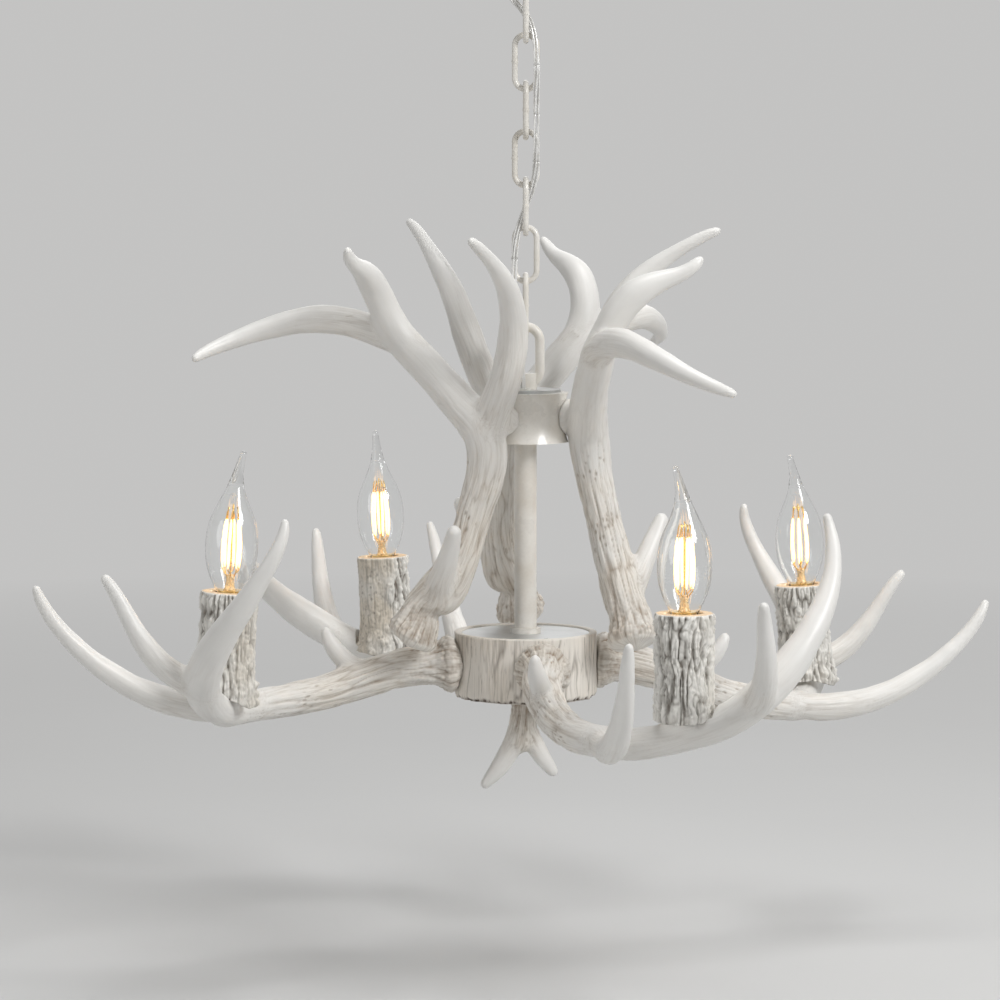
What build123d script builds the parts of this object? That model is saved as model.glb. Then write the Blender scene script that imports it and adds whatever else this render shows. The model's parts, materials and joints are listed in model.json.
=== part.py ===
from build123d import *

import math
import os

# A four-candle chandelier of cast resin antlers, hung on a chain from a ceiling canopy.
# Lengths are millimetres and angles degrees. +Z is up, +X to the viewer's right, +Y away.
# The model is built with z = 0 at the top of the lower hub, and each piece is moved down at the
# end, so that the origin is on the ceiling, at the centre of the mounting strap's top face.

# ---- clearances ----
SEAT_GAP = 0.15  # a cast piece against the curved metal or resin it is screwed to
THREAD_GAP = 0.1  # a rod, screw or nipple in its hole, on the radius
SLIP_GAP = 0.3  # parts that only pass through or hang in each other

# ---- lower hub: a cast log slice with a metal plate let into its top ----
HUB_R = 49.5
HUB_HEIGHT = 45.0
HUB_WALL = 7.5
HUB_FLOOR = 8.0
HUB_EDGE_ROUND = 1.5
COVER_T = 2.0
COVER_LEDGE = 2.0  # how far the plate overlaps the hub's wall
COVER_SINK = 1.2  # the plate's top lies this far below the hub's rim

# ---- stem and the threaded rod inside it ----
STEM_R = 7.7
STEM_WALL = 1.5
STEM_LENGTH = 131.0  # from the hub's rim to the upper hub
FLANGE_R = 10.5
FLANGE_T = 3.5
ROD_R = 4.8
ROD_BORE_R = 3.2
NUT_FLATS = 17.0
NUT_T = 4.0

# ---- upper hub: a painted metal spool ----
SPOOL_R = 29.5
SPOOL_WAIST = 3.2  # how far the side draws in at mid-height
SPOOL_HEIGHT = 34.0
SPOOL_WALL = 3.5
SPOOL_COVER_T = 2.0
SPOOL_COVER_LIP = 1.5  # the plate overlaps the spool's wall by this

# ---- hanging loop on the spool ----
LOOP_WIRE = 6.5
LOOP_WIDTH = 26.0
LOOP_HEIGHT = 46.0  # from the spool's plate to the top of the loop
LOOP_COLLAR_R = 7.8
LOOP_COLLAR_H = 11.0

# ---- chain ----
LINK_WIRE = 4.0
LINK_WIDTH = 19.0
LINK_LENGTH = 41.0
LINK_COUNT = 6
CONNECTOR_LENGTH = 45.0
WELD_PROUD = 0.35
WELD_LENGTH = 1.6

# ---- ceiling end ----
EYE_WIRE = 5.0
EYE_R = 8.5  # centreline of the round eye under the canopy
EYE_NECK_R = 7.0
EYE_NECK_ABOVE = 10.0  # the neck's length inside the canopy
EYE_TO_CANOPY = 9.0  # from the eye's top to the canopy's underside
CANOPY_R = 60.0
CANOPY_HEIGHT = 28.0
CANOPY_WALL = 1.2
CANOPY_FLAT_R = 26.0
CANOPY_RIM_H = 5.0
COLLAR_R = 12.0
COLLAR_T = 5.0
STRAP_LENGTH = 106.0
STRAP_WIDTH = 18.0
STRAP_T = 2.5
STRAP_HOLE_SPACING = 88.9
STRAP_HOLE_R = 2.25
BUSHING_R = 4.0
BUSHING_FLANGE_R = 5.2
BUSHING_FLANGE_T = 1.5

# ---- supply cable: a loose bundle of thin wires ----
CABLE_R = 2.5
CABLE_GAP = 0.15

# ---- screws that hold the antlers ----
SCREW_R = 2.5
SCREW_HEAD_R = 4.5
SCREW_HEAD_T = 3.0
SCREW_REACH = 17.0  # into the antler
PAD_R = 12.5  # of the pad by which an upper antler sits in the upper hub's drawn-in side
PAD_DEPTH = 7.0  # how far the pad reaches into the antler

# ---- candles ----
SLEEVE_R = 19.0
SLEEVE_FLARE = 2.5
SLEEVE_ABOVE = 66.0  # above its seat on the antler
SLEEVE_SKIRT = 3.0  # below the seat, astride the beam
SLEEVE_TOP_T = 3.0
SLEEVE_HOLE_R = 12.0
SLEEVE_CHANNEL = 28.0
SEAT_LEVEL = 8.5  # the flat seat is cut this far above the beam's centre
SEAT_BOSS_R = 13.5  # a low boss on the beam that the sleeve and the holder stand on
SEAT_POCKET_R = 22.5
SEAT_POCKET_H = 20.0
HOLDER_R = 13.5
HOLDER_LENGTH = 62.0
HOLDER_FOOT_R = 7.0
HOLDER_FOOT_H = 3.0
HOLDER_NOSE_R = 11.3
HOLDER_NOSE_H = 5.0
NIPPLE_IN_HOLDER = 10.0
NIPPLE_IN_ANTLER = 9.0

# ---- lamps ----
CAP_R = 6.9  # screw shell, over the threads
THREAD_DEPTH = 0.8
THREAD_PITCH = 2.8
THREAD_TURNS = 5
CAP_SOCKET_GAP = 0.7
CAP_COLLAR_R = 8.7
CAP_COLLAR_H = 2.0
CAP_BOSS_H = 2.4
CAP_CONTACT_R = 2.2
CAP_CONTACT_H = 2.0
GLASS_WALL = 0.8
GLASS_BEND_FROM = 56.0  # the drawn tip starts to bend at this height over the glass's foot
LAMP_CLEAR = 0.4  # between the lamp's collar and the holder
FILAMENT_COUNT = 4
FILAMENT_R = 1.1
FILAMENT_RING_R = 5.2
FILAMENT_FOOT = 15.0  # over the glass's foot
FILAMENT_LENGTH = 40.0
FILAMENT_RING_EDGE = 0.5
FILAMENT_RING_T = 0.8
FLARE_R = 4.2
FLARE_TOP_R = 2.4

# Height and radius of the lamp's glass, from its foot to the sealed tip.
GLASS_PROFILE = [
    (0.0, 8.7), (4.0, 10.4), (12.0, 14.2), (23.0, 17.0), (33.0, 17.5), (43.0, 16.6),
    (54.0, 13.2), (63.0, 9.0), (72.0, 5.6), (82.0, 3.4), (93.0, 2.0),
]
GLASS_BEAD_R = 2.3
GLASS_CAVITY_TOP = 9  # rows of the profile that the cavity follows

# ---- lower antler ----
# Stations along each branch: outward from the stem's axis, sideways, height over the hub's rim,
# and the branch's radius there. All four lower antlers are casts of this one.
LOWER_BEAM = [
    (46, 0, -21, 14.5), (71, -4, -23, 14.0), (99, -10, -29, 13.2), (141, -9, -42, 12.0),
    (177, -2, -48, 11.2), (206, 15, -50, 10.9), (227, 49, -46, 10.3), (244, 80, -35, 11.0),
    (253, 106, -16, 11.8), (249, 131, 10, 10.2), (237, 151, 38, 7.6), (224, 160, 64, 5.0),
    (216, 159, 88, 2.2),
]
LOWER_LONG_TINE = [
    (194, 7, -49, 9.0), (231, 7, -49, 10.0), (270, 4, -39, 8.8), (306, 2, -17, 7.0),
    (331, 0, 8, 4.8), (343, 0, 29, 2.2),
]
LOWER_OUTER_TINE = [
    (249, 97, -25, 9.5), (273, 98, -14, 8.8), (291, 97, 4, 7.2), (304, 94, 26, 5.0),
    (316, 91, 45, 2.6),
]
LOWER_NUB = [(105, -10, -31, 8.0), (124, -16, -21, 6.8), (133, -20, -10, 4.8), (137, -21, -2, 2.8)]
LOWER_BURR = [(49, 0, -21.0, 16.5), (54, -1, -21.5, 19.5), (60, -2, -22.0, 15.5)]
LOWER_GRIP = (50.0, 0.0, -22.0)  # the point of the cast that is held to the hub

# ---- upper antler ----
# Its beam stands beside the spool, its burr hangs near the lower hub, and its tines reach up.
UPPER_BEAM = [
    (80, -35, -1, 13.5), (73, -26, 23, 14.0), (62, -9, 53, 13.3), (51, -2, 92, 12.4),
    (45, 1, 121, 13.6), (44, -5, 141, 14.4), (46, -22, 158, 13.2), (52, -45, 181, 12.0),
    (59, -64, 201, 11.6), (71, -72, 225, 10.2), (87, -71, 242, 9.4), (102, -67, 249, 6.6),
    (115, -64, 254, 4.2), (125, -61, 262, 2.2),
]
UPPER_LONG_TINE = [
    (54, -55, 195, 10.0), (66, -90, 207, 10.2), (89, -126, 210, 9.0), (119, -152, 199, 6.4),
    (140, -162, 191, 4.2), (157, -164, 185, 2.2),
]
UPPER_FRONT_TINE = [
    (44, -1, 139, 12.0), (45, 11, 169, 11.6), (52, 24, 202, 10.2), (67, 32, 233, 8.4),
    (92, 37, 255, 5.8), (112, 39, 267, 3.8), (127, 41, 274, 2.2),
]
UPPER_BROW_TINE = [(73, -22, 24, 10.0), (80, -10, 43, 8.6), (87, 1, 61, 6.2), (93, 9, 77, 4.0)]
UPPER_BURR = [(80, -36, -3, 15.0), (78.5, -33.5, 2, 18.0), (77, -31, 7, 15.0)]
UPPER_GRIP = (28.0, 0.0, 148.0)  # the point of the cast that is held to the spool

# Azimuth of each antler, and how its cast is turned: roll about the outward line, pitch, yaw.
LOWER_SET = {
    "a": (-76.3, (2.5, -0.6, -3.7)),
    "b": (-166.3, (0.3, -2.2, 4.1)),
    "c": (103.7, (-10.4, -2.0, -4.0)),
    "d": (13.7, (-3.7, 4.0, 4.0)),
}
UPPER_SET = {
    "left": (-126.5, (-2.3, 0.6, 1.7)),
    "right": (-6.5, (3.0, 0.4, -2.0)),
    "rear": (113.5, (0.7, -3.0, -1.8)),
}
# Each candle's place sideways along its beam, how far its seat is raised, its lean towards +X,
# and how far the lamp's drawn tip bends that way.
CANDLE_SET = {
    "a": (56.0, 3.5, 0.0, -6.0),
    "b": (42.0, 5.0, 3.0, 5.0),
    "c": (63.0, -2.0, -2.5, -1.0),
    "d": (62.0, 3.0, -3.0, -4.0),
}

# ---- heights that follow from the sizes ----
COVER_TOP = -COVER_SINK
SPOOL_FOOT = STEM_LENGTH
SPOOL_TOP = SPOOL_FOOT + SPOOL_HEIGHT
LOWER_HOLD = (HUB_R + 0.5, 0.0, 0.5 - HUB_HEIGHT / 2)  # where the casts' grips go
UPPER_HOLD = (SPOOL_R - 1.5, 0.0, SPOOL_FOOT + SPOOL_HEIGHT / 2)
LOOP_FOOT = SPOOL_TOP + SPOOL_COVER_T
LOOP_CROWN = LOOP_FOOT + LOOP_HEIGHT - LOOP_WIRE / 2  # centre of the wire at the loop's top
CONNECTOR_LOW = LOOP_CROWN - LOOP_WIRE / 2 - LINK_WIRE / 2 - SLIP_GAP
CONNECTOR_HIGH = CONNECTOR_LOW + CONNECTOR_LENGTH - LINK_WIRE
LINK_STEP = LINK_WIRE + SLIP_GAP  # from one crown's centre up to the crown that it hangs from
LINK_RISE = LINK_LENGTH - LINK_WIRE
FIRST_LINK_HIGH = CONNECTOR_HIGH + LINK_COUNT * (LINK_RISE - LINK_STEP)
EYE_LOW = FIRST_LINK_HIGH - (LINK_WIRE + EYE_WIRE) / 2 - SLIP_GAP
EYE_CENTRE = EYE_LOW + EYE_R
CANOPY_UNDERSIDE = EYE_CENTRE + EYE_R + EYE_TO_CANOPY
CEILING = CANOPY_UNDERSIDE + CANOPY_HEIGHT

# The cable's route: through the first link, down in front of the next three, through the fifth,
# and into the spool's cover.
CABLE_EXIT_X = -18.0
CABLE_ENTRY_GAP = 1.0  # between the loop's collar and the bushing's flange
CABLE_ENTRY = (-2.0, -(LOOP_COLLAR_R + CABLE_ENTRY_GAP + BUSHING_FLANGE_R))
CABLE_ROUTE = [
    (CABLE_EXIT_X, 0.0, CANOPY_UNDERSIDE + CANOPY_WALL + 4.0),
    (-17.9, 0.0, CANOPY_UNDERSIDE - 14.5),
    (-11.0, -0.2, CANOPY_UNDERSIDE - 28.5),
    (-0.5, -0.4, CANOPY_UNDERSIDE - 38.5),
    (6.0, -4.8, CANOPY_UNDERSIDE - 52.5),
    (7.8, -6.7, CANOPY_UNDERSIDE - 74.5),
    (7.2, -7.0, CANOPY_UNDERSIDE - 100.5),
    (7.4, -7.1, CANOPY_UNDERSIDE - 127.0),
    (6.6, -6.2, CANOPY_UNDERSIDE - 153.0),
    (0.0, 0.0, CANOPY_UNDERSIDE - 170.5),
    (-6.5, -6.2, CANOPY_UNDERSIDE - 188.0),
    (-8.5, -8.2, CANOPY_UNDERSIDE - 216.0),
    (-5.6, -11.4, CANOPY_UNDERSIDE - 244.0),
    (-2.1, -13.9, CANOPY_UNDERSIDE - 268.0),
    (CABLE_ENTRY[0], CABLE_ENTRY[1], LOOP_FOOT - 8.0),
]
CABLE_BEND_SHARE = 0.45  # of the shorter run, used up by each arc


def round_bar(radius, low, high):
    """A plain upright cylinder on the Z axis between two heights."""
    return Pos(0, 0, low) * Cylinder(radius, high - low, align=(Align.CENTER, Align.CENTER, Align.MIN))


def ring(outer, inner, low, high):
    return round_bar(outer, low, high) - round_bar(inner, low - 1, high + 1)


def hex_nut(flats, bore, low, high):
    prism = extrude(RegularPolygon(flats / 2, 6, major_radius=False), high - low)
    return Pos(0, 0, low) * prism - round_bar(bore, low - 1, high + 1)


def turned(profile):
    """A solid of revolution about Z from a closed outline of (radius, height) corners."""
    outline = Polyline(*[(r, 0, z) for r, z in profile], close=True)
    return revolve(make_face(outline), Axis.Z)


def branch(stations, seam=(0, 0, 1)):
    """A tapering branch: a loft through circles at the stations, square to the line that joins
    each station's neighbours, with a round end. The seam lies on the side given."""
    points = [Vector(*s[:3]) for s in stations]
    across = Vector(*seam)
    sections = []
    for k, point in enumerate(points):
        along = (points[min(k + 1, len(points) - 1)] - points[max(k - 1, 0)]).normalized()
        across = (across - along * across.dot(along)).normalized()
        sections.append(Plane(origin=point, x_dir=across, z_dir=along) * Circle(stations[k][3]))
    return loft(sections) + Pos(*points[-1]) * Sphere(stations[-1][3])


def oval_link(length, width, wire, welded=True):
    """An oval link in the XZ plane, centred on the origin, with a weld on its left side."""
    bend_r = (width - wire) / 2
    straight = length - width
    section = Pos(bend_r, 0, 0) * (Plane.XY * Circle(wire / 2))
    crown = revolve(section, Axis.Y, -180)
    link = Pos(0, 0, straight / 2) * crown + Pos(0, 0, -straight / 2) * (Rot(0, 180, 0) * crown)
    for side in (-1, 1):
        link += Pos(side * bend_r, 0, 0) * round_bar(wire / 2, -straight / 2, straight / 2)
    if welded:
        link += Pos(-bend_r, 0, 0) * round_bar(wire / 2 + WELD_PROUD, -WELD_LENGTH / 2, WELD_LENGTH / 2)
    return link


def antler_place(azimuth, tilt, grip, hold):
    """From the cast's own frame, +X outward, to its place, where its grip is at the hold."""
    back = Pos(-grip[0], -grip[1], -grip[2])
    return Rot(0, 0, azimuth) * Pos(*hold) * Rot(*tilt) * back


# ---- ceiling end ----


def make_canopy():
    """A pressed cup, open at the ceiling, with a flat bottom round the eye's neck."""
    low, rim = CANOPY_UNDERSIDE, CEILING
    outer = [(0, rim), (CANOPY_R, rim), (CANOPY_R, rim - CANOPY_RIM_H), (CANOPY_FLAT_R, low), (0, low)]
    wall = CANOPY_WALL
    inner = [
        (0, rim + 1), (CANOPY_R - wall, rim + 1), (CANOPY_R - wall, rim - CANOPY_RIM_H + wall / 2),
        (CANOPY_FLAT_R - wall / 2, low + wall), (0, low + wall),
    ]
    cup = turned(outer) - turned(inner)
    cup -= round_bar(EYE_NECK_R + SLIP_GAP, low - 1, low + wall + 1)
    return cup - Pos(CABLE_EXIT_X, 0, 0) * round_bar(BUSHING_R + THREAD_GAP, low - 1, low + wall + 1)


def make_strap():
    strap = Pos(0, 0, CEILING - STRAP_T / 2) * Box(STRAP_LENGTH, STRAP_WIDTH, STRAP_T)
    strap -= round_bar(ROD_R + THREAD_GAP, CEILING - STRAP_T - 1, CEILING + 1)
    hole = round_bar(STRAP_HOLE_R, CEILING - STRAP_T - 1, CEILING + 1)
    for side in (-1, 1):
        strap -= Pos(side * STRAP_HOLE_SPACING / 2, 0, 0) * hole
    return strap


def make_strap_nipple():
    return ring(ROD_R, ROD_BORE_R, CANOPY_UNDERSIDE + CANOPY_WALL, CEILING)


def make_strap_nut():
    top = CEILING - STRAP_T
    return hex_nut(NUT_FLATS, ROD_R + THREAD_GAP, top - NUT_T, top)


def make_screw_collar():
    return ring(COLLAR_R, EYE_NECK_R + THREAD_GAP, CANOPY_UNDERSIDE - COLLAR_T, CANOPY_UNDERSIDE)


def make_canopy_eye():
    """The round eye that the first link hangs from, on a neck screwed to the strap's nipple."""
    section = Pos(EYE_R, 0, 0) * (Plane.XY * Circle(EYE_WIRE / 2))
    eye = Pos(0, 0, EYE_CENTRE) * revolve(section, Axis.Y, 360)
    neck_low = EYE_CENTRE + EYE_R - EYE_WIRE / 4
    eye += round_bar(EYE_NECK_R, neck_low, CANOPY_UNDERSIDE + EYE_NECK_ABOVE)
    bore_low = CANOPY_UNDERSIDE + CANOPY_WALL - SLIP_GAP
    return eye - round_bar(ROD_R + THREAD_GAP, bore_low, CANOPY_UNDERSIDE + EYE_NECK_ABOVE + 1)


def make_bushing(face_z, plate_t, x, y, under=True):
    """A plastic bushing in a plate, with its flange on the side that shows."""
    body = round_bar(BUSHING_R, face_z, face_z + plate_t)
    flange_low = face_z - BUSHING_FLANGE_T if under else face_z + plate_t
    body += round_bar(BUSHING_FLANGE_R, flange_low, flange_low + BUSHING_FLANGE_T)
    low = min(face_z, flange_low) - 1
    high = max(face_z + plate_t, flange_low + BUSHING_FLANGE_T) + 1
    return Pos(x, y, 0) * (body - round_bar(CABLE_R + CABLE_GAP, low, high))


def make_cable():
    """The bundle as one tube along straight runs and tangent arcs."""
    points = [Vector(*p) for p in CABLE_ROUTE]
    radii = []
    for before, here, after in zip(points, points[1:], points[2:]):
        run_in, run_out = here - before, after - here
        half_turn = math.radians(run_in.get_angle(run_out)) / 2
        radii.append(CABLE_BEND_SHARE * min(run_in.length, run_out.length) / math.tan(half_turn))
    print("cable bend radii", [round(r) for r in radii])
    path = FilletPolyline(*points, radius=radii)
    section = Plane(origin=path @ 0, z_dir=path % 0) * Circle(CABLE_R)
    cable = sweep(section, path)
    print("cable length", round(path.length, 1), "volume share", cable.volume / section.area / path.length)
    return cable


# ---- chain ----


def make_link(index):
    """Link 1 hangs from the canopy's eye. Odd links lie in YZ, even ones in XZ."""
    high = FIRST_LINK_HIGH - (index - 1) * (LINK_RISE - LINK_STEP)
    link = oval_link(LINK_LENGTH, LINK_WIDTH, LINK_WIRE)
    turn = 90 if index % 2 else 0
    return Pos(0, 0, high - LINK_RISE / 2) * Rot(0, 0, turn) * link


def make_connector():
    link = oval_link(CONNECTOR_LENGTH, LINK_WIDTH, LINK_WIRE)
    return Pos(0, 0, (CONNECTOR_LOW + CONNECTOR_HIGH) / 2) * Rot(0, 0, 90) * link


# ---- body of the light ----


def make_hanging_loop():
    """An oval eye whose lower crown runs into a collar tapped for the rod."""
    centre = LOOP_FOOT + LOOP_HEIGHT / 2
    loop = Pos(0, 0, centre) * oval_link(LOOP_HEIGHT, LOOP_WIDTH, LOOP_WIRE, welded=False)
    loop += round_bar(LOOP_COLLAR_R, LOOP_FOOT, LOOP_FOOT + LOOP_COLLAR_H)
    return loop - round_bar(ROD_R + THREAD_GAP, LOOP_FOOT - 1, LOOP_FOOT + LOOP_COLLAR_H - 2)


def spool_side(gap):
    """What lies inside the upper hub's drawn-in side, grown by a gap."""
    low, high = SPOOL_FOOT, SPOOL_TOP
    outer, waist = SPOOL_R + gap, SPOOL_R - SPOOL_WAIST + gap
    side = ThreePointArc((outer, 0, low), (waist, 0, (low + high) / 2), (outer, 0, high))
    rest = Polyline((outer, 0, high), (0, 0, high), (0, 0, low), (outer, 0, low))
    return revolve(make_face(side + rest), Axis.Z)


def make_spool():
    """The upper hub: a cup with a drawn-in side, open at the top, with a ledge for its cover."""
    low, high = SPOOL_FOOT, SPOOL_TOP
    spool = spool_side(0)
    inner_r = SPOOL_R - SPOOL_WAIST - SPOOL_WALL
    spool -= round_bar(inner_r, low + SPOOL_WALL, high + 1)
    spool -= round_bar(ROD_R + THREAD_GAP, low - 1, low + SPOOL_WALL + 1)
    screw_hole = Rot(0, 90, 0) * round_bar(SCREW_R + THREAD_GAP, inner_r - 2, SPOOL_R + 1)
    for azimuth, _ in UPPER_SET.values():
        spool -= Rot(0, 0, azimuth) * Pos(0, 0, UPPER_HOLD[2]) * screw_hole
    return spool


def make_spool_cover():
    cover_r = SPOOL_R - SPOOL_WAIST - SPOOL_WALL + SPOOL_COVER_LIP
    plate = round_bar(cover_r, SPOOL_TOP, LOOP_FOOT)
    plate -= round_bar(ROD_R + THREAD_GAP, SPOOL_TOP - 1, LOOP_FOOT + 1)
    entry = round_bar(BUSHING_R + THREAD_GAP, SPOOL_TOP - 1, LOOP_FOOT + 1)
    return plate - Pos(CABLE_ENTRY[0], CABLE_ENTRY[1], 0) * entry


def make_rod():
    """A hollow threaded rod from the loop's collar down into the finial."""
    return ring(ROD_R, ROD_BORE_R, -HUB_HEIGHT - FINIAL_GRIP, LOOP_FOOT + LOOP_COLLAR_H - 2.5)


def make_stem():
    return ring(STEM_R, STEM_R - STEM_WALL, -HUB_HEIGHT + HUB_FLOOR, SPOOL_FOOT)


def make_stem_flange():
    return ring(FLANGE_R, STEM_R + THREAD_GAP, COVER_TOP, COVER_TOP + FLANGE_T)


def make_hub():
    """A cast log slice: a cup with a ledge for the plate and a recess for the nut below."""
    hub = round_bar(HUB_R, -HUB_HEIGHT, 0)
    hub = fillet(hub.edges().filter_by(GeomType.CIRCLE), HUB_EDGE_ROUND)
    inner_r = HUB_R - HUB_WALL
    hub -= round_bar(inner_r, -HUB_HEIGHT + HUB_FLOOR, 1)
    hub -= round_bar(inner_r + COVER_LEDGE + SLIP_GAP, COVER_TOP - COVER_T, 1)
    hub -= round_bar(ROD_R + THREAD_GAP, -HUB_HEIGHT - 1, 0)
    hub -= round_bar(NUT_FLATS / math.sqrt(3) + SLIP_GAP, -HUB_HEIGHT - 1, -HUB_HEIGHT + NUT_T)
    screw_hole = Rot(0, 90, 0) * round_bar(SCREW_R + THREAD_GAP, inner_r - 2, HUB_R + 1)
    for azimuth, _ in LOWER_SET.values():
        hub -= Rot(0, 0, azimuth) * Pos(0, 0, LOWER_HOLD[2]) * screw_hole
    return hub


def make_hub_cover():
    outer = HUB_R - HUB_WALL + COVER_LEDGE
    return ring(outer, STEM_R + SLIP_GAP, COVER_TOP - COVER_T, COVER_TOP)


FINIAL_TRUNK = [(0, 0, 2, 12.0), (0, 0, -5, 10.4), (-2, 0, -21, 9.4), (-3, 0, -31, 9.0)]
FINIAL_LONG_TINE = [(-4, 0, -21, 7.6), (-9, 0, -35, 7.4), (-18, 0, -50, 5.6), (-28, 0, -62, 2.6)]
FINIAL_SHORT_TINE = [(1, 0, -21, 7.0), (6, 0, -33, 6.4), (13, 0, -45, 4.8), (19, 0, -53, 3.0)]
FINIAL_GRIP = 14.0


def make_finial():
    """A small forked antler tip, tapped for the rod's lower end."""
    rows = (FINIAL_TRUNK, FINIAL_LONG_TINE, FINIAL_SHORT_TINE)
    trunk, long_tine, short_tine = (branch(stations, seam=(0, 1, 0)) for stations in rows)
    finial = Pos(0, 0, -HUB_HEIGHT) * (trunk + long_tine + short_tine)
    finial -= round_bar(HUB_R, -HUB_HEIGHT, 0)
    return finial - round_bar(ROD_R + THREAD_GAP, -HUB_HEIGHT - FINIAL_GRIP - 1, -HUB_HEIGHT + 1)


def make_screws(settings, inner_r, start_r, level):
    """One screw for each antler, from inside its hub, with the head against the wall."""
    screws = []
    head_seat = math.sqrt(inner_r**2 - SCREW_HEAD_R**2) - THREAD_GAP / 5
    for azimuth, _ in settings.values():
        screw = round_bar(SCREW_R, head_seat, start_r + SCREW_REACH)
        screw += round_bar(SCREW_HEAD_R, head_seat - SCREW_HEAD_T, head_seat)
        screws.append(Rot(0, 0, azimuth) * Pos(0, 0, level) * Rot(0, 90, 0) * screw)
    return Compound(children=screws)


# ---- antlers ----


def cut_for_screw(antler, place_back, start_r, level):
    pilot = Pos(0, 0, level) * Rot(0, 90, 0) * round_bar(SCREW_R + THREAD_GAP, 0, start_r + SCREW_REACH + 1)
    return antler - place_back * pilot


def make_lower_cast():
    cast = branch(LOWER_BEAM)
    for stations in (LOWER_LONG_TINE, LOWER_OUTER_TINE, LOWER_NUB, LOWER_BURR):
        cast += branch(stations)
    return cast


def make_upper_cast():
    cast = branch(UPPER_BEAM)
    for stations in (UPPER_LONG_TINE, UPPER_FRONT_TINE, UPPER_BROW_TINE, UPPER_BURR):
        cast += branch(stations)
    return cast


def candle_place(name):
    """The candle's own frame: origin on its seat, +Z along the sleeve, +X along the beam."""
    sideways, rise, lean, _ = CANDLE_SET[name]
    place = antler_place(*LOWER_SET[name], LOWER_GRIP, LOWER_HOLD)
    beyond = next(k for k, station in enumerate(LOWER_BEAM) if station[1] > sideways)
    before, after = (Vector(*LOWER_BEAM[k][:3]) for k in (beyond - 1, beyond))
    here = before + (after - before) * ((sideways - before.Y) / (after.Y - before.Y))
    before, here, after = ((place * Pos(*p)).position for p in (before, here, after))
    up = Vector(math.sin(math.radians(lean)), 0, math.cos(math.radians(lean)))
    along = after - before
    along = (along - up * along.dot(up)).normalized()
    return Plane(origin=here + up * (SEAT_LEVEL + rise), x_dir=along, z_dir=up).location


def make_lower_antler(cast, name):
    """The cast at its place, fitted to the hub, with a screw hole and a flat seat for its candle."""
    azimuth, tilt = LOWER_SET[name]
    turn = Rot(0, 0, azimuth)
    antler = antler_place(azimuth, tilt, LOWER_GRIP, LOWER_HOLD) * cast
    antler -= round_bar(HUB_R + SEAT_GAP, -HUB_HEIGHT - 20, 20)
    antler = cut_for_screw(antler, turn, HUB_R, LOWER_HOLD[2])
    seat = candle_place(name)
    antler += seat * round_bar(SEAT_BOSS_R, -SLEEVE_SKIRT - CANDLE_SET[name][1], 0)
    antler -= seat * round_bar(SEAT_POCKET_R, 0, SEAT_POCKET_H)
    antler -= seat * round_bar(ROD_R + THREAD_GAP, -NIPPLE_IN_ANTLER - 0.5, 1)
    return antler.solids().sort_by(SortBy.VOLUME)[-1]


def make_upper_antler(cast, name):
    """The cast at its place, with a low pad that fills the drawn-in side of the upper hub."""
    azimuth, tilt = UPPER_SET[name]
    antler = antler_place(azimuth, tilt, UPPER_GRIP, UPPER_HOLD) * cast
    pad = Rot(0, 90, 0) * round_bar(PAD_R, SPOOL_R - SPOOL_WAIST - 2, SPOOL_R + PAD_DEPTH)
    antler += Rot(0, 0, azimuth) * Pos(0, 0, UPPER_HOLD[2]) * pad
    antler -= spool_side(SEAT_GAP)
    antler -= round_bar(SPOOL_R + SEAT_GAP, SPOOL_FOOT - 30, SPOOL_FOOT)
    antler -= round_bar(SPOOL_R + SEAT_GAP, SPOOL_TOP, SPOOL_TOP + 40)
    antler = cut_for_screw(antler, Rot(0, 0, azimuth), SPOOL_R, UPPER_HOLD[2])
    return antler.solids().sort_by(SortBy.VOLUME)[-1]


# ---- candles and lamps, each in the candle's own frame ----

HOLDER_TOP = HOLDER_LENGTH
GLASS_FOOT = HOLDER_TOP + LAMP_CLEAR + CAP_COLLAR_H
CAP_LOW = HOLDER_TOP - THREAD_TURNS * THREAD_PITCH - 4.0


def make_sleeve():
    """A bark tube, flared at its foot, with a channel that sits astride the beam."""
    top, foot = SLEEVE_ABOVE, -SLEEVE_SKIRT
    outline = [
        (0, top), (SLEEVE_R, top), (SLEEVE_R - 0.5, top * 0.45),
        (SLEEVE_R + SLEEVE_FLARE * 0.4, foot + 12), (SLEEVE_R + SLEEVE_FLARE, foot), (0, foot),
    ]
    sleeve = turned(outline) - round_bar(HOLDER_R + 2 * SLIP_GAP, foot - 1, top - SLEEVE_TOP_T)
    sleeve -= round_bar(SLEEVE_HOLE_R, foot - 1, top + 1)
    channel = Pos(0, 0, foot) * Box(4 * SLEEVE_R, SLEEVE_CHANNEL, 2 * SLEEVE_SKIRT)
    return sleeve - channel


def make_holder():
    """A lamp holder: foot, body and nose, bored for the lamp's screw shell and the nipple."""
    holder = round_bar(HOLDER_FOOT_R, 0, HOLDER_FOOT_H)
    holder += round_bar(HOLDER_R, HOLDER_FOOT_H, HOLDER_TOP - HOLDER_NOSE_H)
    holder += round_bar(HOLDER_NOSE_R, HOLDER_TOP - HOLDER_NOSE_H, HOLDER_TOP)
    holder -= round_bar(CAP_R + CAP_SOCKET_GAP, CAP_LOW - CAP_CONTACT_H - 0.5, HOLDER_TOP + 1)
    return holder - round_bar(ROD_R + THREAD_GAP, -1, NIPPLE_IN_HOLDER + 0.5)


def make_nipples():
    nipple = ring(ROD_R, ROD_BORE_R, -NIPPLE_IN_ANTLER, NIPPLE_IN_HOLDER)
    return Compound(children=[candle_place(name) * nipple for name in CANDLE_SET])


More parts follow.
